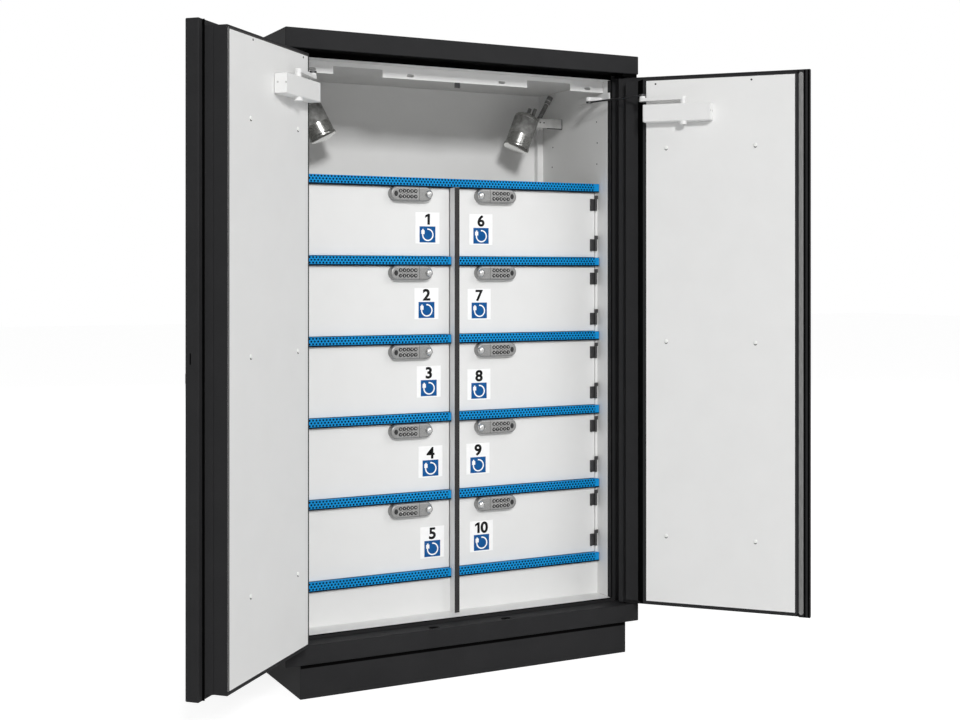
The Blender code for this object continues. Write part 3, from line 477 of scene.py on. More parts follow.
# Carcass: the folded skins keep their CAD shapes and get soft edges
carcass = {
    "plinth": (0.0015, blackCoat), "base_panel": (0.0006, blackCoat), "roof_panel": (0.0006, blackCoat),
    "outer_left_side": (0.0005, blackCoat), "outer_right_side": (0.0005, blackCoat),
    "ceiling_valance": (0.0004, whiteCoat), "lining_right": (0.0004, whiteCoat), "centre_post": (0.0004, whiteCoat),
}
headRecess = {"low": 1.8545, "high": 1.8692}  # head rail, pivot plates and the fascia's underside


def inHeadRecess(face):  # faces up there get painted shade in near-black
    return headRecess["low"] < face.center.z < headRecess["high"]


for nodeName, (edge, coat) in carcass.items():
    shape = cadCopy(nodeName)
    if nodeName == "roof_panel":
        splitCoat(shape, blackCoat, blackShadeCoat, inHeadRecess)
    addPiece(f"{nodeName}_soft", finished(shape, edge), coat, replaced=[nodeName])

# Shadow gaps: thin strips of painted shade where sheets meet, and the black bushes of the latch slots in the sill, also
# drawn in the painted-shade near-black so that the slots read dark
gaps = {"railY": -0.2324, "railLow": 0.1622, "railHigh": 0.1651, "railSkin": 0.0008, "doorFrom": 0.5386,
        "doorTo": 0.5424, "plinthDrop": 0.0098, "plinthInset": 0.001, "plinthSkin": 0.0004, "sill": 0.1543,
        "slotX": 0.1235, "slotY": -0.2778, "slotLength": 0.032, "slotWidth": 0.018,
        "slotBush": ((0, 0.0001), (0, 0.0003))}
plinthLow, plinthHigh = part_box("plinth")
inset, railBack = gaps["plinthInset"], gaps["railY"] + gaps["railSkin"]
underSill = boxMesh((plinthLow.x + inset, plinthLow.y - gaps["plinthSkin"], plinthHigh.z - gaps["plinthDrop"]),
                    (plinthHigh.x - inset, plinthLow.y + inset, plinthHigh.z - hair))
overSill = boxMesh((-opening["half"], gaps["railY"], gaps["railLow"]), (opening["half"], railBack, gaps["railHigh"]))
besideDoors = [boxMesh((side * gaps["doorFrom"], gaps["railY"], opening["low"]),
                       (side * gaps["doorTo"], railBack, opening["high"])) for side in sides.values()]
addPiece("cabinet_painted_shade_gaps", joined(underSill, overSill, *besideDoors), blackShadeCoat)

slotBush = domedPlate(stadiumPoints(gaps["slotLength"], gaps["slotWidth"], 10), gaps["slotBush"])
slotBushes = [placed(slotBush, shifted(side * gaps["slotX"], gaps["slotY"], gaps["sill"]))
              for side in sides.values()]
addPiece("sill_slot_bushes", joined(*slotBushes), blackShadeCoat)

# Small fittings on the linings: holes on the right side, drawn as black discs of painted shade, and a clip under the
# valance
fittings = {"liningX": 0.5375, "holeRadius": 0.0026,
            "holes": [(0.144, 1.666), (0.149, 1.597), (-0.148, 1.657), (-0.144, 1.727), (-0.146, 1.587)],
            "clipLow": (-0.007, -0.1855, 1.802), "clipHigh": (0.011, -0.182, 1.8183)}
toLining = Matrix(((0, 0, -1, fittings["liningX"]), (-1, 0, 0, 0), (0, 1, 0, 0), (0, 0, 0, 1)))
liningHoleShades = placed(plugRow([(-y, z) for y, z in fittings["holes"]], fittings["holeRadius"]), toLining)
clip = boxMesh(fittings["clipLow"], fittings["clipHigh"])
addPiece("lining_hole_shades_and_clip", joined(liningHoleShades, clip), keyPlastic)

plainNodes = {
    "outer_back": blackCoat, "lining_left": whiteCoat, "lining_back": whiteCoat, "lining_ceiling": whiteCoat,
    "insulation": boardCore, "left_door_core": boardCore, "right_door_core": boardCore,
}
for nodeName, coat in plainNodes.items():
    cadNodes[nodeName].data.materials.clear()
    cadNodes[nodeName].data.materials.append(coat)

postTrim = {"low": (-0.0079, -0.1884, 0.166), "high": (0.0079, -0.1854, 1.491), "edge": 0.0006}
trim = finished(boxMesh(postTrim["low"], postTrim["high"]), postTrim["edge"])
addPiece("post_front_trim", trim, trimCoat)
print("carcass dressed")

# Shelves: a plate, and a lip of perforated sheet held in a folded rim, with painted shade behind the holes, along the
# lip's foot and under it
# The real holes stand about 7 mm apart; they are drawn coarser so that they show at this distance.
shelf = {"pitch": 0.0108, "rowPitch": 0.0081, "hole": 0.0066, "rows": 3, "sheet": 0.001, "end": 0.009,
         "notchEnd": 0.004, "notchHalf": 0.009, "lipHalf": 0.535, "rim": 0.0014, "shadeBacking": 0.0032, "hem": 0.0036,
         "return": 0.01, "returnDrop": 0.0007, "plateHalf": 0.5277, "back": 0.2367, "thick": 0.0015,
         "plateTuck": 0.001, "rimTuck": 0.002}


def lipColumns(wide):  # whole columns of holes in a field that wide
    return int(wide / shelf["pitch"] - 0.5)


def lipField(fromX, toX):  # one perforated field between two x values, standing at z 0
    field = grown(perforation, {
        "Columns": lipColumns(toX - fromX), "Rows": shelf["rows"], "Pitch": shelf["pitch"],
        "Row Pitch": shelf["rowPitch"], "Hole": shelf["hole"], "Thickness": shelf["sheet"], "Coat": blueCoat})
    middle = (fromX + toX) / 2 - shelf["pitch"] / 4
    return placed(field, shifted(middle, 0, 0) @ toFront)


def lipRim(fromX, toX, low, high, endAtLow, endAtHigh):  # a bar along the top, and one at each ragged end of the field
    near, far, foot = lipFront, lipFront + shelf["thick"], low + shelf["hem"]
    fieldWide = toX - fromX - endAtLow - endAtHigh
    spare = (fieldWide - lipColumns(fieldWide) * shelf["pitch"]) / 2 + shelf["pitch"] / 4
    return joined(boxMesh((fromX, near, high - shelf["rim"]), (toX, far, high)),
                  boxMesh((fromX, near, foot), (fromX + endAtLow + spare, far, high)),
                  boxMesh((toX - endAtHigh - spare, near, foot), (toX, far, high)))


lipEnd, lipNotch, thick = shelf["lipHalf"], shelf["notchHalf"], shelf["thick"]
fieldEnd, fieldNotch = lipEnd - shelf["end"], lipNotch + shelf["notchEnd"]
leftField, rightField = lipField(-fieldEnd, -fieldNotch), lipField(fieldNotch, fieldEnd)
wholeField = lipField(-fieldEnd, fieldEnd)
rowsHigh = shelf["rows"] * shelf["rowPitch"]
for number, top in enumerate(shelfTops, start=1):
    low, name = top - lipHeight, f"shelf_{number}"
    isWhole = number == 1  # only the top lip runs past the post in one length
    spans = [(-lipEnd, lipEnd)] if isWhole else [(-lipEnd, -lipNotch), (lipNotch, lipEnd)]
    fields = [wholeField] if isWhole else [leftField, rightField]
    plateFront = lipFront + hair if isWhole else leafFront + shelf["plateTuck"]
    plate = boxMesh((-shelf["plateHalf"], plateFront, top - thick), (shelf["plateHalf"], shelf["back"], top))
    addPiece(f"{name}_plate", finished(plate, sheetEdge, 1), shelfZinc)
    rims, shadeStrips = [], []
    for fromX, toX in spans:
        ends = [shelf["notchEnd" if abs(x) == lipNotch else "end"] for x in (fromX, toX)]
        rims.append(lipRim(fromX, toX, low, top, *ends))
        # painted shade: a dark sheet behind the holes, a dark band at the lip's foot and the return under it
        backY = lipFront + shelf["shadeBacking"]
        shadeStrips += [boxMesh((fromX, backY, low + hair), (toX, backY + shelf["sheet"], top - thick - hair)),
                  boxMesh((fromX, lipFront, low), (toX, lipFront + thick, low + shelf["hem"])),
                  boxMesh((fromX, lipFront + 2 * hair, low - shelf["returnDrop"]),
                          (toX, lipFront + shelf["return"], low - hair / 2))]
        if not isWhole:
            rims.append(boxMesh((fromX, lipFront + hair, top - thick), (toX, leafFront + shelf["rimTuck"], top)))
    folded = finished(joined(*rims), sheetEdge, 1)
    addPiece(f"{name}_folded", folded, blueCoat, replaced=[name])
    addPiece(f"{name}_return_fold_painted_shade", joined(*shadeStrips), blueShadeCoat)
    lipMiddle = shifted(0, lipFront + thick / 2 + shelf["sheet"] / 2, top - hair - rowsHigh / 2)
    sheet = joined(*[placed(field, lipMiddle) for field in fields])
    addPiece(f"{name}_perforated_lip", sheet, blueCoat)
print("shelves made")

# Rack frame and compartment doors: white sheet, black hinge halves that lie outside the zone's x
hinge = {"zone": 0.5, "proud": 0.0005, "reach": 0.004, "setBack": 0.0003, "apart": 0.06, "edge": 0.0003}


def isHinge(face):  # stands proud of the door front, near the side
    return face.center.y < leafFront - hair and abs(face.center.x) > hinge["zone"]


def hingeSplit(nodeName):
    return finished(splitCoat(cadCopy(nodeName), whiteCoat, hingePlastic, isHinge), hinge["edge"], 1)


def hingeFlaps(nodeName, side):  # the flat flap of each moving hinge half, which reaches a little further onto the door
    points = [v.co for v in cadNodes[nodeName].data.vertices
              if v.co.y < leafFront - hinge["proud"] and side * v.co.x > hinge["zone"]]
    heights = sorted({round(co.z, 4) for co in points})
    breaks = [i for i in range(1, len(heights)) if heights[i] - heights[i - 1] > hinge["apart"]]
    flaps = []
    for start, end in zip([0] + breaks, breaks + [len(heights)]):
        low, high = heights[start], heights[end - 1]
        group = [co for co in points if low - hair / 2 <= co.z <= high + hair / 2]
        inner, front = min(side * co.x for co in group), min(co.y for co in group)
        flaps.append(boxMesh((side * (inner - hinge["reach"]), front + hinge["setBack"], low),
                             (side * (inner - hair / 2), leafFront + hair, high)))
    return joined(*flaps)


addPiece("rack_frame_soft", hingeSplit("rack_frame"), whiteCoat, replaced=["rack_frame"])

# Plain figures: heights are shares of the 1, and the font's own thickening fails on 6, 8 and 9 if it is larger
figures = {"one": [(0.22, 0), (0.45, 0), (0.45, 1.0), (0.27, 1.0), (0.0, 0.84), (0.0, 0.63), (0.22, 0.75)],
           "wide": 1.08, "roundRise": 1.08, "gap": 0.1, "fontWeight": 0.012, "weld": 1e-7}


def glyphMesh(sign, weight):  # one figure lying flat; the font's 1 is a bare bar, so that one is drawn with its flag
    work = bmesh.new()
    if sign == "1":
        work.faces.new([work.verts.new((across, along, 0)) for across, along in figures["one"]])
        return meshOf(work, figures["weld"])
    curve = bpy.data.curves.new("figure", "FONT")
    curve.body = sign
    curve.offset = figures["fontWeight"]
    work.from_mesh(evaluated(linked("figure", curve)))
    bmesh.ops.remove_doubles(work, verts=work.verts, dist=1e-5)
    pushes = {}
    for edge in work.edges:
        if len(edge.link_faces) == 1:  # an outline edge moves outwards, which makes the stroke bolder
            start, end = edge.verts
            across = (end.co - start.co).cross(Vector((0, 0, 1))).normalized()
            inside = edge.link_faces[0].calc_center_median() - start.co
            outward = -across if across.dot(inside) > 0 else across
            for vertex in edge.verts:
                pushes[vertex] = pushes.get(vertex, Vector()) + outward
    for vertex, push in pushes.items():
        vertex.co += push.normalized() * weight
    return meshOf(work, figures["weld"])


def figureMesh(text, height, middle, weight):  # plain figures in a row, centred on a point
    work, cursor = bmesh.new(), 0.0
    for sign in text:
        glyph = glyphMesh(sign, weight)
        xs = [vertex.co.x for vertex in glyph.vertices]
        ys = [vertex.co.y for vertex in glyph.vertices]
        tall = height * (1.0 if sign == "1" else figures["roundRise"])
        scale = tall / (max(ys) - min(ys))
        wide = scale * figures["wide"]
        glyph.transform(shifted(cursor, -tall / 2, 0) @ Matrix.Diagonal((wide, scale, 1, 1))
                        @ shifted(-min(xs), -min(ys), 0))
        work.from_mesh(glyph)
        cursor += (max(xs) - min(xs)) * wide + figures["gap"] * height
    start = middle[0] - (cursor - figures["gap"] * height) / 2
    bmesh.ops.translate(work, verts=work.verts, vec=(start, middle[1], 0))
    bmesh.ops.recalc_face_normals(work, faces=work.faces)
    bmesh.ops.solidify(work, geom=work.faces, thickness=hair)
    return meshOf(work, figures["weld"])


# Keypad locks: "shoulder" has the inset and the drop of each step of the case's rounded front;
# "key", "ring", "lamp" and "lone" have a radius, a height and a crown.
lock = {"length": 0.1418, "height": 0.0443, "depth": 0.0234, "postGap": 0.0771, "drop": 0.05125, "knobX": 0.091,
        "shoulder": ((0, 0.006), (0.0006, 0.0036), (0.002, 0.0014), (0.0042, 0.0003), (0.0062, 0)),
        "keyPitchX": 0.0127, "keyPitchZ": 0.017, "keyReach": 0.096, "key": (0.0061, 0.002, 0.85),
        "ring": (0.007, 0.0008, 0.95), "lamp": (0.0012, 0.001, 0.8), "lone": (0.0082, 0.002, 0.85),
        "loneReach": 0.1105, "loneNarrow": 0.72,
        "seamReach": 0.032, "seamWide": 0.0008, "seamHigh": 0.04, "digit": 0.0043, "digitWeight": 0.06}
knobProfile = [(0, 0.01), (0.0032, 0.0099), (0.006, 0.0093), (0.0085, 0.008), (0.0104, 0.006), (0.0116, 0.0035),
               (0.0119, 0.0012), (0.0119, 0.0002), (0.0045, 0.0002), (0.0045, -0.0485), (0, -0.0485)]
cam = {"length": 0.062, "tail": 0.01, "width": 0.012, "near": -0.1305, "thick": 0.003}


def lockParts(side):  # made about the case's middle; x runs from the outer end to the post
    outward = Matrix.Diagonal((-side, 1, 1, 1))
    face = shifted(0, 0, lock["depth"])
    levels = [(0, -hair)] + [(inset, lock["depth"] - drop) for inset, drop in lock["shoulder"]]
    case = domedPlate(stadiumPoints(lock["length"], lock["height"], 18), levels)
    knobPlace = lock["postGap"] + lock["length"] / 2 - lock["knobX"]
    keyStart, pitch = knobPlace - lock["keyReach"], lock["keyPitchX"]
    keys = [(keyStart + column * pitch, row * lock["keyPitchZ"] / 2) for column in range(5) for row in (-1, 1)]
    lamps = [(keyStart + (column + 0.5) * pitch, 0) for column in range(3)]
    oval = shifted(knobPlace - lock["loneReach"], 0, 0) @ Matrix.Diagonal((lock["loneNarrow"], 1, 1, 1))
    loneKey = studRow([(0, 0)], *lock["lone"], keyPlastic)
    seamX, seamHalf, seamRise = knobPlace - lock["seamReach"], lock["seamWide"] / 2, lock["seamHigh"] / 2
    controls = joined(
        studRow(keys, *lock["key"], keyPlastic),
        placed(loneKey, oval),
        studRow(lamps, *lock["lamp"], keyPlastic),
        boxMesh((seamX - seamHalf, -seamRise, -hair), (seamX + seamHalf, seamRise, 2 * hair)))
    rings = studRow(keys, *lock["ring"], knobEnamel)
    marks = [figureMesh(str((share + 1) % 10), lock["digit"], (keyX * -side, keyZ), lock["digitWeight"])
             for share, (keyX, keyZ) in enumerate(keys)]
    numerals = placed(joined(*marks), shifted(0, 0, lock["depth"] + lock["key"][1] + hair))
    shapes = [placed(case, outward), placed(controls, face @ outward), placed(rings, face @ outward), numerals]
    return [placed(mesh, toFront) for mesh in shapes]


# Labels: "ring" has its radius, width and end angles; "battery" the corners of its body and its terminal
label = {"width": 0.082, "height": 0.0972, "number": 0.0338, "numberWeight": 0.024, "numberDrop": 0.0215,
         "square": 0.0545, "squareHigh": 0.92, "squareRise": 0.02835, "drop": 0.0012, "film": 0.0003,
         "ring": (0.0176, 0.0041, -190, 95), "signShift": 0.001,
         "battery": (((-0.0222, 0.002), (-0.0112, 0.014)), ((-0.019, 0.0139), (-0.0144, 0.0178)))}
labelMiddles = {1: (-0.0852, 1.3661), 2: (-0.0886, 1.131), 3: (-0.0809, 0.888), 4: (-0.0749, 0.6385),
                5: (-0.0687, 0.3871), 6: (0.1021, 1.3642), 7: (0.0958, 1.1274), 8: (0.0949, 0.873),
                9: (0.0914, 0.6378), 10: (0.1038, 0.391)}


def ringMesh(radius, width, fromAngle, toAngle, steps=40):  # a flat open ring, for the sign
    work = bmesh.new()
    rails = [[], []]
    for step in range(steps + 1):
        angle = math.radians(fromAngle + (toAngle - fromAngle) * step / steps)
        for rail, reach in zip(rails, (radius - width / 2, radius + width / 2)):
            rail.append(work.verts.new((reach * math.cos(angle), reach * math.sin(angle), 0)))
    for i in range(steps):
        work.faces.new((rails[0][i], rails[1][i], rails[1][i + 1], rails[0][i + 1]))
    bmesh.ops.solidify(work, geom=work.faces, thickness=hair / 2)
    return meshOf(work, figures["weld"])


def labelParts(number):  # white film, its number, and a blue square with an open ring round a battery sign
    film, halfWide, halfHigh = label["film"], label["width"] / 2, label["height"] / 2
    sheet = boxMesh((-halfWide, -halfHigh, 0), (halfWide, halfHigh, film))
    figure = figureMesh(str(number), label["number"], (0, halfHigh - label["numberDrop"]), label["numberWeight"])
    squareMiddle, reach = -halfHigh + label["squareRise"], label["square"] / 2
    rise = reach * label["squareHigh"]
    square = boxMesh((-reach, squareMiddle - rise, film), (reach, squareMiddle + rise, film + hair))
    blocks = [boxMesh((*low, -hair / 2), (*high, hair / 2)) for low, high in label["battery"]]
    signPlace = shifted(label["signShift"], squareMiddle - label["signShift"], film + 1.5 * hair)
    sign = placed(joined(ringMesh(*label["ring"]), *blocks), signPlace)
    return sheet, placed(figure, shifted(0, 0, film + hair)), square, sign


lockLooks = {"case": caseEnamel, "keys": keyPlastic, "key_rings": knobEnamel, "numerals": markPlastic}
labelLooks = {"label": labelVinyl, "label_number": inkVinyl, "label_square": blueVinyl, "label_sign": labelVinyl}
lockSets = {side: lockParts(side) for side in sides.values()}
knobMesh = latheMesh(knobProfile, 40)
for number in range(1, 11):
    side = -1 if number <= 5 else 1
    lockZ = shelfTops[(number - 1) % 5] - lock["drop"]
    leaf, knob = f"compartment_door_{number}", f"lock_knob_{number}"
    addPiece(f"{leaf}_leaf", hingeSplit(leaf), whiteCoat, leaf, [leaf])
    flaps = finished(hingeFlaps(leaf, side), sheetEdge, 1)
    addPiece(f"{leaf}_hinge_flaps", flaps, hingePlastic, leaf)
    lockPlace = shifted(side * (lock["postGap"] + lock["length"] / 2), leafFront, lockZ)
    for (kind, coat), mesh in zip(lockLooks.items(), lockSets[side]):
        shape = placed(mesh, lockPlace)
        shape = finished(shape) if kind == "case" else shape
        addPiece(f"{leaf}_lock_{kind}", shape, coat, leaf, slot="grey_lock_enamel")
    knobX = side * lock["knobX"]
    stem = placed(knobMesh, shifted(knobX, leafFront - lock["depth"] - hair, lockZ) @ toFront)
    camBar = boxMesh((knobX - cam["width"] / 2, cam["near"], lockZ - cam["length"]),
                     (knobX + cam["width"] / 2, cam["near"] + cam["thick"], lockZ + cam["tail"]))
    turned = finished(joined(stem, camBar), sheetEdge, 1)
    addPiece(f"{knob}_turned", turned, knobEnamel, knob, [knob])
    labelX, labelZ = labelMiddles[number]
    labelPlace = shifted(labelX, leafFront, labelZ - label["drop"]) @ toFront
    for (kind, coat), mesh in zip(labelLooks.items(), labelParts(number)):
        addPiece(f"{leaf}_{kind}", placed(mesh, labelPlace), coat, leaf)
print("compartments made")

# Main doors: shells, panels, closers and small heads on the panels, with a painted shadow under each; "cap" and "notch"
# have radius, height and crown
doorPieces = {"door_shell": (0.0008, blackCoat), "door_panel": (0.0004, whiteCoat), "closer_body": (0.0008, whiteCoat)}
panelHeads = {"face": -0.193, "xs": (0.146, 0.425), "zs": (1.62, 1.01, 0.397), "cap": (0.0058, 0.0026, 0.6),
              "notch": (0.005, 0.00104, 0.8), "notchDrop": 0.0037,
              "holeXs": (0.158, 0.459), "holeZ": 1.822, "holeRadius": 0.003}
# Screws in the end of the open left closer; the right one's are their mirror image with the doors closed
closerEnd = {"screws": ((-0.71, -0.5558, 1.7292), (-0.6929, -0.5728, 1.7281)), "radius": 0.0028, "height": 0.0007}
doorFittings = {"closer_arm": whiteCoat, "closer_rod": rodSteel, "closer_shoe": whiteCoat,
                "extinguisher_bracket": bracketZinc}
fittingEdge = 0.0005
chamfer = {"outward": 0.5, "inward": 0.3}  # least parts of its normal


def shellSplit(word, side):  # the chamfer on the hinge side of the plug gets painted shade in near-black
    back = doorPlace(word).to_3x3().inverted()

    def isChamfer(face):
        closedNormal = back @ face.normal
        return side * closedNormal.x > chamfer["outward"] and closedNormal.y > chamfer["inward"]

    return splitCoat(cadCopy(f"{word}_door_shell"), blackCoat, blackShadeCoat, isChamfer)


for word, side in sides.items():
    door, opened = f"{word}_door", doorPlace(word)
    for kind, (edge, coat) in doorPieces.items():
        nodeName = f"{word}_{kind}"
        shape = shellSplit(word, side) if kind == "door_shell" else cadCopy(nodeName)
        addPiece(f"{nodeName}_soft", finished(shape, edge), coat, door, [nodeName])
    toPanel = opened @ shifted(0, panelHeads["face"], 0) @ Matrix.Rotation(-math.pi / 2, 4, "X")
    heads = [(side * x, -z) for x in panelHeads["xs"] for z in panelHeads["zs"]]
    caps = studRow(heads, *panelHeads["cap"], whitePlastic)
    addPiece(f"{door}_panel_caps", placed(caps, toPanel), whitePlastic, door)
    notches = studRow([(x, y + panelHeads["notchDrop"]) for x, y in heads],  # a dark disc of painted shadow just under each cap, showing as a crescent
                      *panelHeads["notch"], keyPlastic)
    holeShades = plugRow([(side * x, -panelHeads["holeZ"]) for x in panelHeads["holeXs"]], panelHeads["holeRadius"])
    addPiece(f"{door}_panel_hole_and_cap_shades", placed(joined(notches, holeShades), toPanel), keyPlastic, door)
    for kind, coat in doorFittings.items():
        nodeName = f"{word}_{kind}"
        body = nodeName if kind in ("closer_arm", "closer_rod") else "cabinet"  # the two links move on their own
        addPiece(f"{nodeName}_soft", finished(cadCopy(nodeName), fittingEdge, 1), coat, body, [nodeName])
    screws = []
    for spot in closerEnd["screws"]:
        closed = doorPlace("left").inverted() @ Vector(spot)
        head = Vector((-side * closed.x, closed.y, closed.z))
        outward = Vector((-side * closerEnd["height"], 0, 0))
        screws.append(rodMesh(head - outward, head + outward, closerEnd["radius"]))
    addPiece(f"{word}_closer_end_screws", placed(joined(*screws), opened), capPlastic, door)

# Grooves in the meeting edges and the latch slot, filled with painted shade in near-black, and the dark strip round the
# left panel, laid out with the doors closed
edges = {"low": 0.16, "high": 1.855, "leftGroove": ((-0.0213, -0.2625), (-0.019, -0.256)),
         "latchSlot": ((-0.0018, -0.287, 0.996), (-0.0012, -0.2834, 1.024)),
         "rightGrooves": ((0.0002, 0.005), (-0.012, -0.0066)), "rightY": -0.2425, "rightShort": 0.002,
         "panelFree": -0.0262, "panelHinge": -0.489, "panelTop": 1.833,
         "panelFoot": 0.1866, "stripSide": 0.0048, "stripTop": 0.004, "sealEdge": 0.0012, "handleEdge": 0.001}
grooveFrom, grooveTo = edges["leftGroove"]
leftGrooves = joined(boxMesh((*grooveFrom, edges["low"]), (*grooveTo, edges["high"])), boxMesh(*edges["latchSlot"]))
rightGrooves = joined(*[boxMesh((fromX, edges["rightY"] - hair, edges["low"] + edges["rightShort"]),
                                (toX, edges["rightY"] + 2 * hair, edges["high"] - edges["rightShort"]))
                        for fromX, toX in edges["rightGrooves"]])
stripX, panelTop = edges["panelFree"] - edges["stripSide"], edges["panelTop"]
stripNear, stripFar = panelHeads["face"] - 2 * hair, panelHeads["face"] + 1.5 * hair
leftStrip = joined(
    boxMesh((stripX, stripNear, edges["panelFoot"]), (edges["panelFree"] + hair, stripFar, panelTop)),
    boxMesh((edges["panelHinge"], stripNear, panelTop - edges["stripTop"]), (stripX, stripFar, panelTop)))
edgePieces = [("left", "shade_grooves", leftGrooves, blackShadeCoat), ("right", "shade_grooves", rightGrooves, blackShadeCoat),
              ("left", "panel_strip", leftStrip, trimCoat)]
for word, name, mesh, coat in edgePieces:
    addPiece(f"{word}_door_{name}", placed(mesh, doorPlace(word)), coat, f"{word}_door")
seal = finished(cadCopy("right_door_seal"), edges["sealEdge"])
handle = finished(cadCopy("door_handle"), edges["handleEdge"])
addPiece("right_door_seal_strip", seal, sealRubber, "right_door", ["right_door_seal"])
addPiece("door_handle_soft", handle, blackCoat, "door_handle", ["door_handle"])
print("doors made")

# Fire extinguishers: a drawn steel bottle with a rolled foot and a bare grey band, two valve stubs, a release rod
bottle = {"leftX": -0.343, "rightX": 0.359, "y": 0.09, "z": 1.651, "tilt": math.radians(23), "middle": 0.066,
          "leftLean": math.radians(-15), "rightLean": math.radians(-2),
          "profile": [(0, 0.132), (0.0105, 0.132), (0.0118, 0.1308), (0.012, 0.122), (0.03, 0.1215), (0.0365, 0.1195),
                      (0.0405, 0.1162), (0.0418, 0.1125), (0.042, 0.108), (0.042, 0.0105), (0.0425, 0.009),
                      (0.044, 0.0078), (0.0445, 0.006), (0.0445, 0.0012), (0.0436, 0.0002), (0.04, 0.0),
                      (0.037, 0.0012), (0.0355, 0.004), (0.02, 0.0032), (0, 0.0026)],
          "foot": [(0, 0.003), (0.0395, 0.003), (0.0428, 0.0004), (0.0412, -0.0018), (0.03, -0.0038), (0, -0.005)],
          "band": [(0.0405, 0.046), (0.0422, 0.046), (0.0422, 0.106), (0.0405, 0.106), (0.0405, 0.046)],
          "stubs": [(0.004, 0.01), (0.013, -0.012)], "stubRadius": 0.0062, "stubFoot": 0.118, "stubTop": 0.154,
          "stubEdge": 0.001, "smoothAngle": 50, "around": 64}
release = {"x": 0.4487, "y": 0.1025, "z": 1.741, "lean": math.radians(30), "length": 0.1106, "start": 0.018,
           "head": 0.0325, "radius": 0.0068, "headRadius": 0.0098, "turn": 0.0064, "ridge": 0.0016,
           "headSteps": ((0.001, 0), (0, 0.002), (0, 0.012), (0.0015, 0.014), (0, 0.016), (0, 0.0305), (0.002, 0.0325))}
bracket = {"holesX": (0.437, 0.45, 0.465), "front": 0.08, "holesZ": 1.743, "holeRadius": 0.0026, "leftShift": 0.016,
           "nutsX": (0.444, 0.458), "nutY": 0.09, "under": 1.725, "nut": (0.0065, 0.006, 0.8),
           "foldX": 0.4768, "endX": 0.537, "fold": 0.0026, "endFold": 0.00182, "foldNear": 0.0003,
           "foldFar": 0.0008, "plateTop": 1.757}


def braidedRod():  # short ridges along the rod, then its thick head, whose steps are cut-back and height pairs
    foot, neck, height = release["length"] - release["head"], release["radius"], release["start"]
    profile = [(0, height), (neck, height)]
    while height < foot - release["turn"]:
        profile += [(neck + release["ridge"], height + release["turn"] / 2), (neck, height + release["turn"])]
        height += release["turn"]
    head = [(release["headRadius"] - cut, foot + rise) for cut, rise in release["headSteps"]]
    return latheMesh(profile + [(neck, foot)] + head + [(0, release["length"])], 20)


bottleBody, footBody, bandBody = [latheMesh(bottle[part], bottle["around"]) for part in ("profile", "foot", "band")]
for word, side in sides.items():
    name = f"{word}_extinguisher"
    middle = shifted(0, 0, bottle["middle"])  # the bottles hang with their feet a little to the front
    hung = (shifted(bottle[f"{word}X"], bottle["y"], bottle["z"])
            @ Matrix.Rotation(side * bottle["tilt"], 4, "Y")
            @ middle @ Matrix.Rotation(bottle[f"{word}Lean"], 4, "X") @ middle.inverted())
    body, foot = [finished(placed(mesh, hung), smoothAngle=bottle["smoothAngle"]) for mesh in (bottleBody, footBody)]
    addPiece(f"{name}_bottle", body, bottleSteel, replaced=[name])
    addPiece(f"{name}_foot", foot, footPaintedLight)
    addPiece(f"{name}_band", finished(placed(bandBody, hung)), bandVinyl)
    stubs = joined(*[rodMesh((side * x, y, bottle["stubFoot"]), (side * x, y, bottle["stubTop"]), bottle["stubRadius"])
                     for x, y in bottle["stubs"]])
    valves = finished(placed(stubs, hung), bottle["stubEdge"])
    addPiece(f"{name}_valves", valves, hoseSteel)
    rodPlace = (shifted(side * release["x"], release["y"], release["z"])
                @ Matrix.Rotation(side * release["lean"], 4, "Y"))
    rod = finished(placed(braidedRod(), rodPlace))
    addPiece(f"{word}_release_rod", rod, hoseSteel, slot="dark_grey_powder_coat")

    shift = bracket["leftShift"] if word == "left" else 0.0  # the left bottle sits further in
    # painted shade: black discs stand for the bracket's dark holes
    holes = plugRow([(side * (x - shift), bracket["holesZ"]) for x in bracket["holesX"]], bracket["holeRadius"])
    holes = placed(holes, shifted(0, bracket["front"], 0) @ toFront)
    addPiece(f"{word}_bracket_holes", holes, keyPlastic)
    # Painted shade: near-black strips under the bracket's bottom fold and down its end, where its underside and end
    # fall in shadow
    under, endX = bracket["under"], bracket["endX"]
    folds = [boxMesh((side * nearX, bracket["front"] - bracket["foldNear"], low),
                     (side * endX, bracket["front"] + bracket["foldFar"], high))
             for nearX, low, high in ((bracket["foldX"], under - bracket["fold"], under),
                                      (endX - bracket["endFold"], under, bracket["plateTop"]))]
    addPiece(f"{word}_bracket_fold_painted_shade", joined(*folds), blackShadeCoat, slot="dark_grey_powder_coat")
    nuts = studRow([(side * (x - shift), bracket["nutY"]) for x in bracket["nutsX"]], *bracket["nut"], capPlastic)
    nuts = placed(nuts, shifted(0, 2 * bracket["nutY"], under) @ Matrix.Rotation(math.pi, 4, "X"))
    addPiece(f"{word}_bracket_nuts", nuts, capPlastic, slot="white_powder_coat")
print("extinguishers made")

# Floor, light and camera
lamps = {
    "key_softbox": {"place": (-3.7, -13.4, 6.6), "aim": (0.1, 0.0, 1.3), "size": 2.1, "watts": 1168.0},
    "fill_panel": {"place": (3.2, -4.6, 4.6), "aim": (-0.4, -0.4, 1.2), "size": 2.2, "watts": 72.0},
    "back_panel": {"place": (3.0, 8.5, 5.0), "aim": (0.0, 0.0, 1.0), "size": 3.0, "watts": 260.0},
}
studio = {"skyStrength": 0.24, "floorSize": 60.0, "floorShade": 0.45, "floorGlow": 1.55}
for name, look in lamps.items():
    data = bpy.data.lights.new(name, "AREA")
    data.size = look["size"]
    data.energy = look["watts"]
    lamp = linked(name, data)
    lamp.location = look["place"]
    lamp.rotation_euler = (Vector(look["aim"]) - Vector(look["place"])).to_track_quat("-Z", "Y").to_euler()


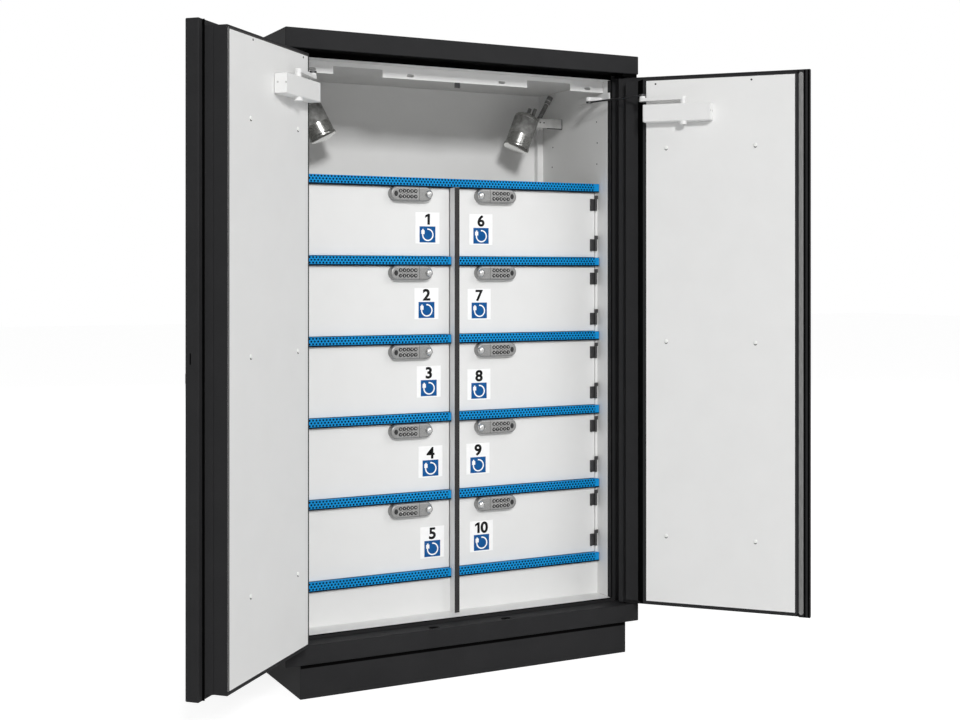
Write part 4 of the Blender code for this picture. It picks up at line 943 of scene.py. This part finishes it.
def seenDirectly(tree):  # camera, mirror and glass rays see the white backdrop itself
    path = addNode(tree, "ShaderNodeLightPath")
    mirrored = mathNode(tree, "MAXIMUM", path.outputs["Is Glossy Ray"], path.outputs["Is Transmission Ray"])
    return mathNode(tree, "MAXIMUM", path.outputs["Is Camera Ray"], mirrored)


world = bpy.data.worlds.new("studio_sky")
bpy.context.scene.world = world
world.use_nodes = True
skyTree = world.node_tree
sky = skyTree.nodes["Background"]
sky.inputs["Color"].default_value = (1, 1, 1, 1)
skyLevel = ranged(skyTree, seenDirectly(skyTree), studio["skyStrength"], 1.0)
skyTree.links.new(skyLevel, sky.inputs["Strength"])

floorCoat, floorTree, floorShader = newMaterial("pale_studio_floor", "#F4F4F4", 0.9)
floorPath = addNode(floorTree, "ShaderNodeLightPath")
glowLevel = ranged(floorTree, floorPath.outputs["Is Camera Ray"], 1.0, studio["floorGlow"])
floorGlow = addNode(floorTree, "ShaderNodeEmission", {"Color": (1, 1, 1, 1), "Strength": glowLevel})
floorShare = mathNode(floorTree, "MULTIPLY", seenDirectly(floorTree), 1.0 - studio["floorShade"])
floorMix = addNode(floorTree, "ShaderNodeMixShader", {
    0: floorShare, 1: floorShader.outputs[0], 2: floorGlow.outputs[0]})
floorTree.links.new(floorMix.outputs[0], floorTree.nodes["Material Output"].inputs["Surface"])
half = studio["floorSize"] / 2
floorMesh = bpy.data.meshes.new("floor")
floorMesh.from_pydata([(-half, -half, 0), (half, -half, 0), (half, half, 0), (-half, half, 0)], [], [(0, 1, 2, 3)])
floorMesh.materials.append(floorCoat)
linked("studio_floor", floorMesh)

view = {"place": (-1.8988, -4.0459, 1.2171), "turn": -27.15, "lens": 51.72, "shiftY": -0.0881}
cameraData = bpy.data.cameras.new("photo_camera")
cameraData.lens = view["lens"]
cameraData.sensor_width = 36.0
cameraData.shift_y = view["shiftY"]
camera = linked("photo_camera", cameraData)
camera.location = view["place"]
camera.rotation_euler = (math.radians(90), 0, math.radians(view["turn"]))
bpy.context.scene.camera = camera
bpy.context.scene.view_settings.view_transform = "Standard"
print("studio set")
